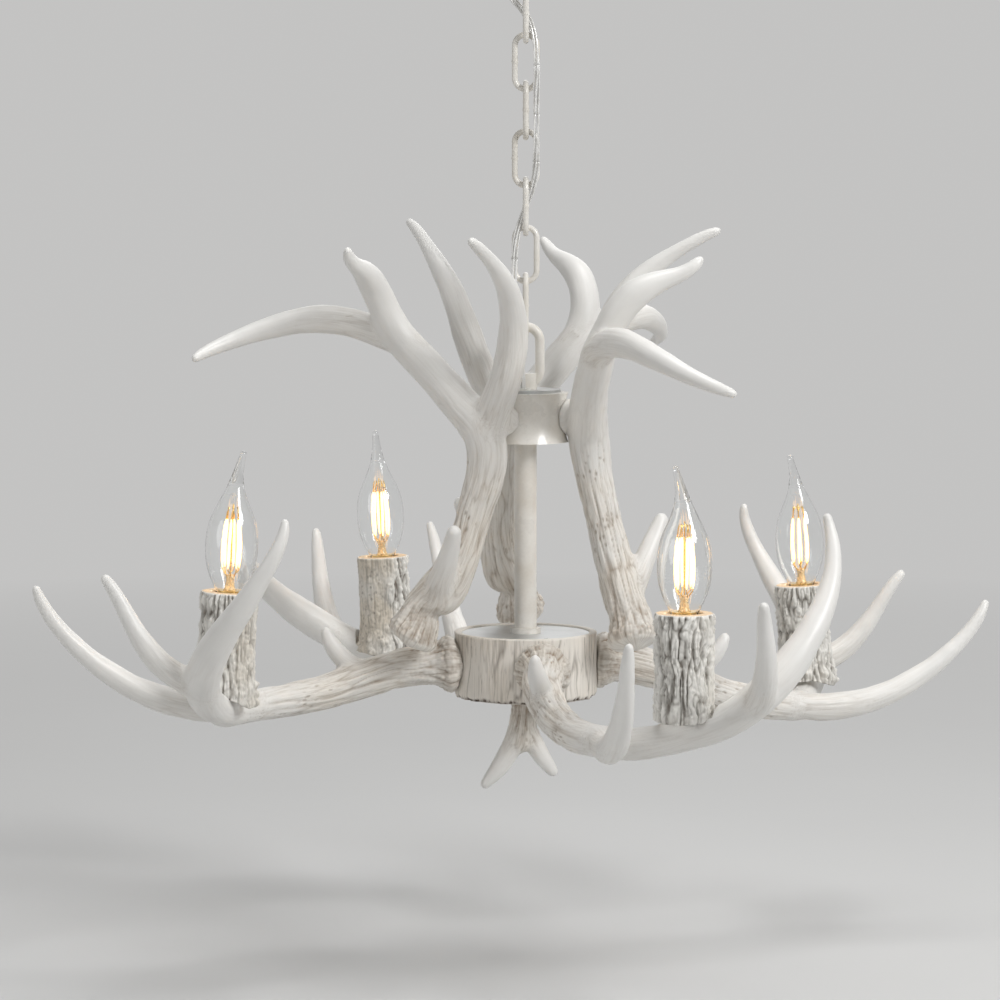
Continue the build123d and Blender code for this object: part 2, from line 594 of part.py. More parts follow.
def make_lamp_cap():
    """The screw shell with its rounded threads, contact, collar and the boss inside the glass."""
    crest, root = CAP_R, CAP_R - THREAD_DEPTH
    outline = [(0, CAP_LOW - CAP_CONTACT_H), (CAP_CONTACT_R, CAP_LOW - CAP_CONTACT_H), (CAP_CONTACT_R, CAP_LOW)]
    outline.append((root - 1, CAP_LOW))
    for turn in range(THREAD_TURNS):
        z = CAP_LOW + 1 + turn * THREAD_PITCH
        outline += [(root, z), (crest, z + THREAD_PITCH * 0.35), (crest, z + THREAD_PITCH * 0.65)]
    shell_top = GLASS_FOOT - CAP_COLLAR_H
    outline += [(root, CAP_LOW + 1 + THREAD_TURNS * THREAD_PITCH), (root, shell_top)]
    outline += [(CAP_COLLAR_R, shell_top), (CAP_COLLAR_R, GLASS_FOOT)]
    boss_r = GLASS_PROFILE[0][1] - GLASS_WALL - THREAD_GAP
    outline += [(boss_r, GLASS_FOOT), (boss_r, GLASS_FOOT + CAP_BOSS_H), (0, GLASS_FOOT + CAP_BOSS_H)]
    return turned(outline)


def glass_section(name, row, thinner):
    """A circle of the glass's profile, shifted sideways where the drawn tip bends."""
    height, radius = GLASS_PROFILE[row]
    bend = CANDLE_SET[name][3]
    past = max(0.0, height - GLASS_BEND_FROM) / (GLASS_PROFILE[-1][0] - GLASS_BEND_FROM)
    shift = bend_direction(name) * (bend * past**2)
    origin = Vector(shift.X, shift.Y, GLASS_FOOT + height)
    return Plane(origin=origin) * Circle(radius - thinner)


def bend_direction(name):
    """World +X seen from the candle's own frame, laid flat."""
    frame = Plane(candle_place(name))
    return Vector(frame.x_dir.X, frame.y_dir.X, 0).normalized()


def make_glass(name):
    """A thin flame-shaped shell, open at its foot, with a solid drawn tip that ends in a bead."""
    rows = len(GLASS_PROFILE)
    outer = loft([glass_section(name, k, 0) for k in range(rows)])
    tip = bend_direction(name) * CANDLE_SET[name][3] + Vector(0, 0, GLASS_FOOT + GLASS_PROFILE[-1][0])
    outer += Pos(tip.X, tip.Y, tip.Z) * Sphere(GLASS_BEAD_R)
    cavity = loft([glass_section(name, k, GLASS_WALL) for k in range(GLASS_CAVITY_TOP)])
    foot_bore = round_bar(GLASS_PROFILE[0][1] - GLASS_WALL, GLASS_FOOT - 1, GLASS_FOOT + 0.5)
    return outer - cavity - foot_bore


def make_filament():
    """A glass flare on the boss, a centre wire, and lit sticks between two small rings."""
    foot = GLASS_FOOT + CAP_BOSS_H
    low = GLASS_FOOT + FILAMENT_FOOT
    high = low + FILAMENT_LENGTH
    parts = turned([(0, foot), (FLARE_R, foot), (FLARE_TOP_R, low), (0, low)])
    parts += round_bar(FILAMENT_R * 0.7, foot, high + 2)
    for level in (low - FILAMENT_RING_T, high):
        ring_r = FILAMENT_RING_R + FILAMENT_R + FILAMENT_RING_EDGE
        parts += round_bar(ring_r, level, level + FILAMENT_RING_T)
    for k in range(FILAMENT_COUNT):
        turn = Rot(0, 0, 45 + k * 360 / FILAMENT_COUNT)
        parts += turn * Pos(FILAMENT_RING_R, 0, 0) * round_bar(FILAMENT_R, low, high)
    return parts


# ---- writing ----


def write(name, shape):
    shape = Pos(0, 0, -CEILING) * shape
    shape.label = name
    export_step(shape, f"parts/{name}.step")


def main():
    os.makedirs("parts", exist_ok=True)
    print("rim of the lower hub below the ceiling", round(CEILING, 2))

    write("canopy", make_canopy())
    write("mounting_strap", make_strap())
    write("strap_nipple", make_strap_nipple())
    write("strap_nut", make_strap_nut())
    write("screw_collar", make_screw_collar())
    write("canopy_eye", make_canopy_eye())
    write("canopy_bushing", make_bushing(CANOPY_UNDERSIDE, CANOPY_WALL, CABLE_EXIT_X, 0))
    write("supply_cable", make_cable())

    for index in range(1, LINK_COUNT + 1):
        write(f"chain_link_{index}", make_link(index))
    write("connector_link", make_connector())

    write("hanging_loop", make_hanging_loop())
    write("upper_hub", make_spool())
    write("upper_cover", make_spool_cover())
    write("cover_bushing", make_bushing(SPOOL_TOP, SPOOL_COVER_T, *CABLE_ENTRY, under=False))
    write("threaded_rod", make_rod())
    floor = SPOOL_FOOT + SPOOL_WALL
    write("upper_rod_nut", hex_nut(NUT_FLATS, ROD_R + THREAD_GAP, floor, floor + NUT_T))
    write("stem_tube", make_stem())
    write("stem_flange", make_stem_flange())
    write("lower_hub", make_hub())
    write("hub_cover", make_hub_cover())
    write("lower_rod_nut", hex_nut(NUT_FLATS, ROD_R + THREAD_GAP, -HUB_HEIGHT, -HUB_HEIGHT + NUT_T))
    write("finial", make_finial())

    spool_inner = SPOOL_R - SPOOL_WAIST - SPOOL_WALL
    write("upper_antler_screws", make_screws(UPPER_SET, spool_inner, SPOOL_R, UPPER_HOLD[2]))
    write("lower_antler_screws", make_screws(LOWER_SET, HUB_R - HUB_WALL, HUB_R, LOWER_HOLD[2]))

    upper_cast = make_upper_cast()
    for name in UPPER_SET:
        write(f"upper_antler_{name}", make_upper_antler(upper_cast, name))
    lower_cast = make_lower_cast()
    for name in LOWER_SET:
        write(f"lower_antler_{name}", make_lower_antler(lower_cast, name))

    sleeve, holder, cap, filament = make_sleeve(), make_holder(), make_lamp_cap(), make_filament()
    write("holder_nipples", make_nipples())
    for name in CANDLE_SET:
        place = candle_place(name)
        write(f"bark_sleeve_{name}", place * sleeve)
        write(f"lamp_holder_{name}", place * holder)
        write(f"lamp_cap_{name}", place * cap)
        write(f"lamp_glass_{name}", place * make_glass(name))
        write(f"lamp_filament_{name}", place * filament)


if __name__ == "__main__":
    main()
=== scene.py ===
# %% [markdown]
# # An antler chandelier with four flame lamps
# The real one is made of resin antlers, cast in two moulds and screwed to a wood-grained hub and
# to a painted spool. It hangs on a chain from a ceiling canopy. The metal parts come from the CAD
# model as they are. What a mould or a knife shapes, such as antler, bark and wood grain, is made
# here from arrays of points, because a CAD solid has none of that detail.

# %% Load the frame
import json
import math

import bmesh
import bpy
import numpy as np
from mathutils import Matrix, Vector


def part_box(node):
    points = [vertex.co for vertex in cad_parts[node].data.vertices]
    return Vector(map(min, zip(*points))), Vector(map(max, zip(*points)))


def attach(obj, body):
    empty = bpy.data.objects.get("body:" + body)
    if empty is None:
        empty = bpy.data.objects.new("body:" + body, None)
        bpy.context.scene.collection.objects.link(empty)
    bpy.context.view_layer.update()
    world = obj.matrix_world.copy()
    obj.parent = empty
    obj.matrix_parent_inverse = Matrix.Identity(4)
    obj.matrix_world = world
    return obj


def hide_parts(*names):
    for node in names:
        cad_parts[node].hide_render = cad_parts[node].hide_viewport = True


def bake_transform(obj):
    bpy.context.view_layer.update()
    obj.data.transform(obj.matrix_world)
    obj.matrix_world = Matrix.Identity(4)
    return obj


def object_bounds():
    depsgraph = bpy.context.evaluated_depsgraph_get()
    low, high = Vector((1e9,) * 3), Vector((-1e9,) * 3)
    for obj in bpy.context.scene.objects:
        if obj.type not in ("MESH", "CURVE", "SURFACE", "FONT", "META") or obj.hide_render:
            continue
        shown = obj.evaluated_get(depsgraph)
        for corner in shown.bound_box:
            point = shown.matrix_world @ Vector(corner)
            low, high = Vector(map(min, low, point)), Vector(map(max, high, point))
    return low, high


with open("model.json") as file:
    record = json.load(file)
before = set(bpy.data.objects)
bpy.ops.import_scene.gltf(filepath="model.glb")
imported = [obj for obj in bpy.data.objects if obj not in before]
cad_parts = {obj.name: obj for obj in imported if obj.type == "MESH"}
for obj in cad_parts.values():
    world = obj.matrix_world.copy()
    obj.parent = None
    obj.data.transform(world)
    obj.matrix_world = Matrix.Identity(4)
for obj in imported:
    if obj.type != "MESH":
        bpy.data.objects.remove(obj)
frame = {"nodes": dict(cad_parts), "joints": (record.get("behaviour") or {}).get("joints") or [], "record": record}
cad_low, cad_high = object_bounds()
nodes = frame["nodes"]
MM = 0.001
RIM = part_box("lower_hub")[1].z  # height of the lower hub's rim; shapes below are set out from it
RIM_PLACE = np.array([0, 0, RIM])
LEVEL = np.array([1, 1, 0])  # a vector times this loses its height
UP = np.array([0.0, 0.0, 1.0])
print("CAD nodes", len(nodes), "- hub rim at", round(RIM, 4), "m")

# %% [markdown]
# ## The camera
# The picture was taken a little above the middle of the lamps, looking slightly down. A long lens
# keeps the far antlers nearly as large as the near ones. The angle comes from how round the lower
# hub's rim looks: the flatter an ellipse, the lower the eye.

# %% Camera
CAMERA_LENS = 140.7
CAMERA_SENSOR = 36.0
CAMERA_DOWN = 5.11  # degrees below level
CAMERA_PLACE = (-0.0176, -2.6782, RIM + 0.3301)

camera_data = bpy.data.cameras.new("camera")
camera_data.lens = CAMERA_LENS
camera_data.sensor_width = CAMERA_SENSOR
camera = bpy.data.objects.new("camera", camera_data)
camera.location = CAMERA_PLACE
camera.rotation_euler = (math.radians(90 - CAMERA_DOWN), 0, 0)
bpy.context.scene.collection.objects.link(camera)
bpy.context.scene.camera = camera
bpy.context.scene.view_settings.view_transform = "Standard"
print("camera", CAMERA_LENS, "mm,", CAMERA_DOWN, "degrees down")

# %% [markdown]
# ## Helpers that turn arrays into a piece
# A grid of points is a surface: each row joins the next one. When the last column joins the
# first, the surface is a tube, and when the last row joins the first too, it is closed like a
# ring. All pieces below are made of such grids, or of a CAD solid that gets a finer skin.


# %% Meshes from arrays
def grid_faces(rows, columns, close_rows=False):
    """Four corners of each face between neighbouring rows; the last column joins the first."""
    last = rows if close_rows else rows - 1
    row = np.arange(last)[:, None]
    column = np.arange(columns)[None, :]
    after, over = (column + 1) % columns, (row + 1) % rows
    corners = [(row, column), (row, after), (over, after), (over, column)]
    corners = np.broadcast_arrays(*(line * columns + place for line, place in corners))
    return np.stack(corners, -1).reshape(-1, 4)


def make_piece(name, points, faces, material_index=None):
    """A mesh object with its place in its mesh. The points are in metres."""
    mesh = bpy.data.meshes.new(name)
    corners = faces if isinstance(faces, list) else faces.tolist()
    mesh.from_pydata(np.asarray(points).tolist(), [], corners)
    mesh.update()
    mesh.polygons.foreach_set("use_smooth", np.ones(len(mesh.polygons), bool))
    if material_index is not None:
        mesh.polygons.foreach_set("material_index", np.asarray(material_index, np.int32))
    piece = bpy.data.objects.new(name, mesh)
    bpy.context.scene.collection.objects.link(piece)
    return piece


def store(piece, **lists):
    """Keeps one number, or one vector, for each vertex, so that a material can read it."""
    for name, values in lists.items():
        values = np.asarray(values, np.float32)
        kind, field = ("FLOAT", "value") if values.ndim == 1 else ("FLOAT_VECTOR", "vector")
        piece.data.attributes.new(name, kind, "POINT").data.foreach_set(field, values.ravel())


def unit(vectors):
    return vectors / (np.linalg.norm(vectors, axis=-1, keepdims=True) + 1e-12)


def carried_frames(path):
    """Tangent, side and third direction at each point of a path. The side is carried along: at
    each step, what leans along the new tangent is taken off, so the frame never spins."""
    tangent = unit(np.gradient(path, axis=0))
    side = np.zeros_like(path)
    start = np.eye(3)[np.argmin(np.abs(tangent[0]))]
    for k, along in enumerate(tangent):
        start = start - along * (start @ along)
        start = start / np.linalg.norm(start)
        side[k] = start
    return tangent, side, np.cross(tangent, side)


def ring_of(count):
    """Level directions all round, from +X on."""
    angle = np.linspace(0, 2 * np.pi, count, endpoint=False)
    return np.stack([np.cos(angle), np.sin(angle), 0 * angle], 1)


def loops_at(ring, radii, heights):
    """Points on level loops round Z; radii and heights have one row for each loop."""
    points = ring * np.asarray(radii)[..., None] + UP * np.asarray(heights)[..., None]
    return points.reshape(-1, 3)


def tube(path, radii, sides):
    """Points and faces of a round tube along a path, with pointed ends: a circle of the given
    radius at each point, in the plane of its side and third direction."""
    _, side, third = carried_frames(path)
    ring = ring_of(sides)
    circle = ring[None, :, :1] * side[:, None] + ring[None, :, 1:2] * third[:, None]
    rings = path[:, None] + circle * np.broadcast_to(radii, len(path))[:, None, None]
    points = np.concatenate([rings.reshape(-1, 3), path[:1], path[-1:]])
    faces = grid_faces(len(path), sides).tolist()
    low, high = len(points) - 2, len(points) - 1
    top = (len(path) - 1) * sides
    around = np.arange(sides)
    after = (around + 1) % sides
    faces += np.stack([after, around, np.full(sides, low)], 1).tolist()
    faces += np.stack([top + around, top + after, np.full(sides, high)], 1).tolist()
    return points, faces


def joined(parts):
    """One list of points and faces from several."""
    points, faces, count = [], [], 0
    for part_points, part_faces in parts:
        points.append(part_points)
        faces += [[count + corner for corner in face] for face in part_faces]
        count += len(part_points)
    return np.concatenate(points), faces


# %% [markdown]
# ## Random relief
# Value noise gives soft hills: a random number at each whole-number point, blended in between.
# Stretching its coordinates along the grain turns hills into grooves. Pearls, as on an antler's
# burr, are distances to random centres. The numbers are hashed from the place itself, so each run
# gives the same relief.


# %% Noise
def hashed(cells, seed):
    """A number from 0 to 1 for each whole-number cell, from its three numbers and the seed."""
    mixed = (cells * np.array([73856093, 19349663, 83492791])).sum(-1) + seed * 40503
    mixed = (mixed ^ (mixed >> 13)) * 1274126177
    mixed = (mixed ^ (mixed >> 16)) * 668265263
    return ((mixed ^ (mixed >> 15)) & 0xFFFFFF) / 0xFFFFFF


def noise(points, seed):
    """From -1 to 1: the random numbers at a cell's eight corners, blended by smooth steps."""
    low = np.floor(points).astype(np.int64)
    share = points - low
    share = share * share * (3 - 2 * share)
    total = np.zeros(len(points))
    for corner in np.ndindex(2, 2, 2):
        weight = np.prod(np.where(corner, share, 1 - share), axis=1)
        total += weight * hashed(low + np.array(corner), seed)
    return 2 * total - 1


def pearls(points, seed):
    """1 at a random centre in each cell, falling to 0 one cell away."""
    low = np.floor(points).astype(np.int64)
    nearest = np.full(len(points), 2.0)
    for step in np.ndindex(3, 3, 3):
        cell = low + np.array(step) - 1
        centre = cell + np.stack([hashed(cell, seed + k) for k in range(3)], 1)
        nearest = np.minimum(nearest, np.linalg.norm(points - centre, axis=1))
    return np.clip(1 - nearest, 0, 1)


def creases(points, seed, width):
    """1 along the lines where noise passes through zero, falling to 0 at the given width."""
    return np.clip(1 - np.abs(noise(points, seed)) / width, 0, 1)


def ramp(values, low, high):
    """0 below low, 1 above high, and a smooth step between."""
    share = np.clip((values - low) / (high - low), 0, 1)
    return share * share * (3 - 2 * share)


# %% [markdown]
# ## The supply cable
# Four thin clear-coated wires run down the chain and into the spool, and each hinge lets them bend.
# Their route is one smooth curve, cut in the middle of each link, so that each length of cable
# belongs to one hinge.

# %% Cable route
STRAND_COUNT = 4
STRAND_R = 0.68
STRAND_SPREAD = 1.55
STRAND_TURN = 210.0  # the wires wind once round each other in this length
STRAND_SIDES = 10
CABLE_END_DROP = 8.0  # inside the spool
CANOPY_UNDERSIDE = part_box("canopy")[0].z / MM
SPOOL_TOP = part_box("upper_cover")[1].z / MM
CABLE_ROUTE = [
    (-18.0, 0.0, 5.2), (-17.9, 0.0, -14.5), (-11.0, -0.2, -28.5), (-0.5, -0.4, -38.5),
    (6.0, -4.8, -52.5), (7.8, -6.7, -74.5), (7.2, -7.0, -100.5), (7.4, -7.1, -127.0),
    (6.6, -6.2, -153.0), (0.0, 0.0, -170.5), (-6.5, -6.2, -188.0), (-8.5, -8.2, -216.0),
    (-5.6, -11.4, -244.0), (-2.1, -13.9, -268.0),
]  # across, away from the viewer, and height under the canopy
route = [(x, y, CANOPY_UNDERSIDE + z) for x, y, z in CABLE_ROUTE]
route.append((-2.0, -14.0, SPOOL_TOP - CABLE_END_DROP))


def smooth_line(points, name):
    """The points of a NURBS spline in metres, read back from a curve that has no thickness."""
    curve = bpy.data.curves.new(name, "CURVE")
    curve.dimensions = "3D"
    spline = curve.splines.new("NURBS")
    spline.points.add(len(points) - 1)
    for point, place in zip(spline.points, points):
        point.co = (*(value * MM for value in place), 1)
    spline.order_u = 3
    spline.use_endpoint_u = True
    spline.resolution_u = 16
    holder = bpy.data.objects.new(name, curve)
    bpy.context.scene.collection.objects.link(holder)
    mesh = bpy.data.meshes.new_from_object(holder)
    line = np.array([vertex.co[:] for vertex in mesh.vertices])
    bpy.data.objects.remove(holder)
    return line


cable_line = smooth_line(route, "cable_route")
cable_steps = np.linalg.norm(np.diff(cable_line, axis=0), axis=1)
cable_reach = np.concatenate([[0], np.cumsum(cable_steps)])
print("cable length", round(cable_reach[-1], 4), "m in", len(cable_line), "points")

# %% Cable strands, one length for each hinge
hinges = [joint for joint in frame["joints"] if joint["type"] == "hinge"]
hinge_heights = np.array([joint["pos_m"][2] for joint in hinges])
between = (hinge_heights[1:] + hinge_heights[:-1]) / 2
cuts = np.concatenate([cable_line[:1, 2], between, cable_line[-1:, 2]])
_, cable_side, cable_third = carried_frames(cable_line)
cable_marks = [int(np.argmin(np.abs(cable_line[:, 2] - cut))) for cut in cuts]


def strand_path(index, first, last):
    """The cable's line moved sideways: the offset turns slowly round it and breathes a little."""
    reach = cable_reach[first : last + 1] / MM
    angle = 2 * np.pi * (index / STRAND_COUNT + reach / STRAND_TURN)
    away = (STRAND_SPREAD + 0.2 * np.sin(reach / 17 + 2 * index)) * MM
    across = np.cos(angle)[:, None] * cable_side[first : last + 1]
    across = across + np.sin(angle)[:, None] * cable_third[first : last + 1]
    return cable_line[first : last + 1] + across * away[:, None]


cable_pieces = []
for index, joint in enumerate(hinges):
    first, last = cable_marks[index], cable_marks[index + 1]
    paths = [strand_path(k, first, last) for k in range(STRAND_COUNT)]
    strands = [tube(path, STRAND_R * MM, STRAND_SIDES) for path in paths]
    piece = make_piece(f"cable_{index + 1}", *joined(strands))
    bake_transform(piece)
    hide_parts("supply_cable")
    cable_pieces.append(piece)
print("cable lengths", len(cable_pieces))

# %% [markdown]
# ## The antlers' own coordinates
# Grooves run along each branch, so every point of the skin needs to know how far along a branch it
# lies and on which side. The branches' centre lines are given here, as rows of outward, sideways,
# height and radius in the cast's own frame. A smooth curve goes through them, and each skin point
# looks for its nearest place.

# %% Centre lines of the two casts
LOWER_BRANCHES = [
    [
        (46, 0, -21, 14.5), (71, -4, -23, 14.0), (99, -10, -29, 13.2), (141, -9, -42, 12.0),
        (177, -2, -48, 11.2), (206, 15, -50, 10.9), (227, 49, -46, 10.3), (244, 80, -35, 11.0),
        (253, 106, -16, 11.8), (249, 131, 10, 10.2), (237, 151, 38, 7.6), (224, 160, 64, 5.0),
        (216, 159, 88, 2.2),
    ],
    [
        (194, 7, -49, 9.0), (231, 7, -49, 10.0), (270, 4, -39, 8.8), (306, 2, -17, 7.0),
        (331, 0, 8, 4.8), (343, 0, 29, 2.2),
    ],
    [
        (249, 97, -25, 9.5), (273, 98, -14, 8.8), (291, 97, 4, 7.2), (304, 94, 26, 5.0),
        (316, 91, 45, 2.6),
    ],
    [(105, -10, -31, 8.0), (124, -16, -21, 6.8), (133, -20, -10, 4.8), (137, -21, -2, 2.8)],
]
UPPER_BRANCHES = [
    [
        (80, -35, -1, 13.5), (73, -26, 23, 14.0), (62, -9, 53, 13.3), (51, -2, 92, 12.4),
        (45, 1, 121, 13.6), (44, -5, 141, 14.4), (46, -22, 158, 13.2), (52, -45, 181, 12.0),
        (59, -64, 201, 11.6), (71, -72, 225, 10.2), (87, -71, 242, 9.4), (102, -67, 249, 6.6),
        (115, -64, 254, 4.2), (125, -61, 262, 2.2),
    ],
    [
        (54, -55, 195, 10.0), (66, -90, 207, 10.2), (89, -126, 210, 9.0), (119, -152, 199, 6.4),
        (140, -162, 191, 4.2), (157, -164, 185, 2.2),
    ],
    [
        (44, -1, 139, 12.0), (45, 11, 169, 11.6), (52, 24, 202, 10.2), (67, 32, 233, 8.4),
        (92, 37, 255, 5.8), (112, 39, 267, 3.8), (127, 41, 274, 2.2),
    ],
    [(73, -22, 24, 10.0), (80, -10, 43, 8.6), (87, 1, 61, 6.2), (93, 9, 77, 4.0)],
]
FINIAL_BRANCHES = [
    [(0, 0, -43, 12.0), (0, 0, -50, 10.4), (-2, 0, -66, 9.4), (-3, 0, -76, 9.0)],
    [(-4, 0, -66, 7.6), (-9, 0, -80, 7.4), (-18, 0, -95, 5.6), (-28, 0, -107, 2.6)],
    [(1, 0, -66, 7.0), (6, 0, -78, 6.4), (13, 0, -90, 4.8), (19, 0, -98, 3.0)],
]
LOWER_GRIP = (50.0, 0.0, -22.0)
UPPER_GRIP = (28.0, 0.0, 148.0)
NO_GRIP = (0.0, 0.0, 0.0)
# Turn about the stem, then roll, pitch and yaw about the grip, in degrees.
ANTLER_SET = {
    "lower_antler_a": (-76.3, (2.5, -0.6, -3.7)),
    "lower_antler_b": (-166.3, (0.3, -2.2, 4.1)),
    "lower_antler_c": (103.7, (-10.4, -2.0, -4.0)),
    "lower_antler_d": (13.7, (-3.7, 4.0, 4.0)),
    "upper_antler_left": (-126.5, (-2.3, 0.6, 1.7)),
    "upper_antler_right": (-6.5, (3.0, 0.4, -2.0)),
    "upper_antler_rear": (113.5, (0.7, -3.0, -1.8)),
    "finial": (0.0, (0.0, 0.0, 0.0)),
}
PATH_STEP = 2.5  # mm between the places on a centre line


def rotation(axis, degrees):
    return np.array(Matrix.Rotation(math.radians(degrees), 3, axis))


def cast_turn(name):
    """How a cast is turned: its azimuth, then its own small roll, pitch and yaw."""
    azimuth, (roll, pitch, yaw) = ANTLER_SET[name]
    return rotation("Z", azimuth), rotation("X", roll) @ rotation("Y", pitch) @ rotation("Z", yaw)


def to_cast(points, name, grip):
    """Points in metres in the room, as millimetres in the cast's own frame."""
    azimuth, tilt = cast_turn(name)
    hung = (points - RIM_PLACE) / MM
    return (hung @ azimuth - np.array(grip)) @ tilt + np.array(grip)


def from_cast(points, name, grip):
    azimuth, tilt = cast_turn(name)
    hung = ((points - np.array(grip)) @ tilt.T + np.array(grip)) @ azimuth.T
    return hung * MM + RIM_PLACE


def smooth_branch(rows):
    """A curve through the rows, each span a cubic whose slope at a row is half the step between
    its neighbours. Gives places, radii, their frames and the length up to each."""
    rows = np.array(rows, float)
    ends = np.concatenate([[2 * rows[0] - rows[1]], rows, [2 * rows[-1] - rows[-2]]])
    spans = []
    for before, low, high, after in zip(ends, ends[1:], ends[2:], ends[3:]):
        count = max(2, int(np.linalg.norm(high[:3] - low[:3]) / PATH_STEP))
        t = np.linspace(0, 1, count, endpoint=False)[:, None]
        out, into = (high - before) / 2, (after - low) / 2
        spans.append(
            low * (2 * t**3 - 3 * t**2 + 1) + out * (t**3 - 2 * t**2 + t)
            + high * (3 * t**2 - 2 * t**3) + into * (t**3 - t**2)
        )
    curve = np.concatenate(spans + [rows[-1:]])
    path, radius = curve[:, :3], curve[:, 3]
    reach = np.concatenate([[0], np.cumsum(np.linalg.norm(np.diff(path, axis=0), axis=1))])
    return path, radius, reach, carried_frames(path)


def along_branch(points, branch):
    """For each point: how far along the branch, the direction out from its centre line as a
    share of the carried frame, how far outside its surface, the branch's length, and its radius
    there."""
    path, radius, reach, (tangent, side, third) = branch
    near = np.argmin((path**2).sum(1)[None] - 2 * points @ path.T, axis=1)
    away = points - path[near]
    step = (away * tangent[near]).sum(1)
    away = away - tangent[near] * step[:, None]
    span = np.linalg.norm(away, axis=1)
    past_end = np.where((near == 0) | (near == len(path) - 1), np.abs(step), 0)
    outside = np.sqrt(span**2 + past_end**2) - radius[near]
    round_it = np.stack([(away * side[near]).sum(1), (away * third[near]).sum(1)], 1)
    return reach[near] + step, round_it / (span[:, None] + 1e-9), outside, reach[-1], radius[near]


print("centre lines", len(LOWER_BRANCHES), "+", len(UPPER_BRANCHES), "+", len(FINIAL_BRANCHES))

# %% [markdown]
# ## A finer skin for a CAD antler
# The CAD cast has the right shape, but its branches meet in sharp creases. A copy of the solid
# gets an even skin of small faces. Then each vertex moves towards the middle of its neighbours,
# nearly only if that takes it outwards. Creases fill into fillets this way, while ridges and tips
# keep their place.

# %% Even skin with filled creases
SKIN_STEP = 0.86  # mm between vertices
FILLET_ROUNDS = 86
FILL_SHARE, SINK_SHARE = 0.9, 0.12  # of a move outwards, and of one inwards


def even_skin(node, name, step):
    """A copy of a CAD node with its loose triangles merged and an even net of small faces."""
    mesh = nodes[node].data.copy()
    work = bmesh.new()
    work.from_mesh(mesh)
    bmesh.ops.remove_doubles(work, verts=work.verts, dist=1e-5)
    work.to_mesh(mesh)
    work.free()
    rough = bpy.data.objects.new(name + "_rough", mesh)
    bpy.context.scene.collection.objects.link(rough)
    net = rough.modifiers.new("net", "REMESH")
    net.mode = "VOXEL"
    net.voxel_size = step * MM
    graph = bpy.context.evaluated_depsgraph_get()
    even = bpy.data.meshes.new_from_object(rough.evaluated_get(graph))
    bpy.data.objects.remove(rough)
    points = np.zeros(len(even.vertices) * 3)
    even.vertices.foreach_get("co", points)
    corners = np.zeros(len(even.loops), np.int32)
    even.loops.foreach_get("vertex_index", corners)
    bpy.data.meshes.remove(even)
    return points.reshape(-1, 3), corners.reshape(-1, 4)


def gather(index, values, count):
    """Sums the values that share an index, one sum per vertex."""
    return np.stack([np.bincount(index, values[:, k], count) for k in range(values.shape[1])], 1)


def skin_normals(points, faces):
    """The faces' directions, from their crossed diagonals, summed at each vertex."""
    corner = [points[faces[:, k]] for k in range(4)]
    across = np.cross(corner[2] - corner[0], corner[3] - corner[1])
    return unit(sum(gather(faces[:, k], across, len(points)) for k in range(4)))


def neighbours(faces):
    pairs = np.concatenate([faces[:, [k, (k + 1) % 4]] for k in range(4)])
    return np.unique(np.sort(pairs, axis=1), axis=0)


def fill_creases(points, faces, rounds, free):
    """Moves vertices towards their neighbours' middle where that is outwards; free is each
    vertex's share of the move, 0 for one that stays."""
    pairs = neighbours(faces)
    count = np.bincount(pairs.ravel(), minlength=len(points))[:, None]
    normals = skin_normals(points, faces)
    for turn in range(rounds):
        if turn % 8 == 7:
            normals = skin_normals(points, faces)
        total = gather(pairs[:, 0], points[pairs[:, 1]], len(points))
        total += gather(pairs[:, 1], points[pairs[:, 0]], len(points))
        move = total / count - points
        outwards = (move * normals).sum(1, keepdims=True) > 0
        points = points + move * (np.where(outwards, FILL_SHARE, SINK_SHARE) * free[:, None])
    return points


# %% [markdown]
# ## Relief of the antlers
# Near the burr, an antler is rough: pearls on the burr, then deep winding grooves with pits. The
# grooves get shallow along the beam, and the tines are smooth. The casts are white with a brown
# wash wiped off again, so it stays in the grooves. That is why the depth of the relief is also
# kept as a number for the material.

# %% Relief along the branches
GRAIN_R = 12.0  # a branch's sides are unrolled as if it were this thick
GROOVE = (3.2, 3.2, 34.0)  # mm: the deep grooves' spacing round a branch and along it
SCRATCH = (1.9, 1.9, 19.0)  # the fine ones between them
PIT, PIT_DEPTH = (3.0, 3.0, 8.0), 0.6
PIT_PATCH = 24.0
BEAD, SMALL_BEAD = 3.6, 2.3  # the burr's pearls, and those just beyond it
BEAM_ROUGH, SHORT_ROUGH = 0.42, 0.8
SHORT_TINE = 3  # the number of the short tine of both casts, nearly as rough as the beam
TIP_SWELL = 1.2  # mm; the real tips are a little blunter than the CAD ones


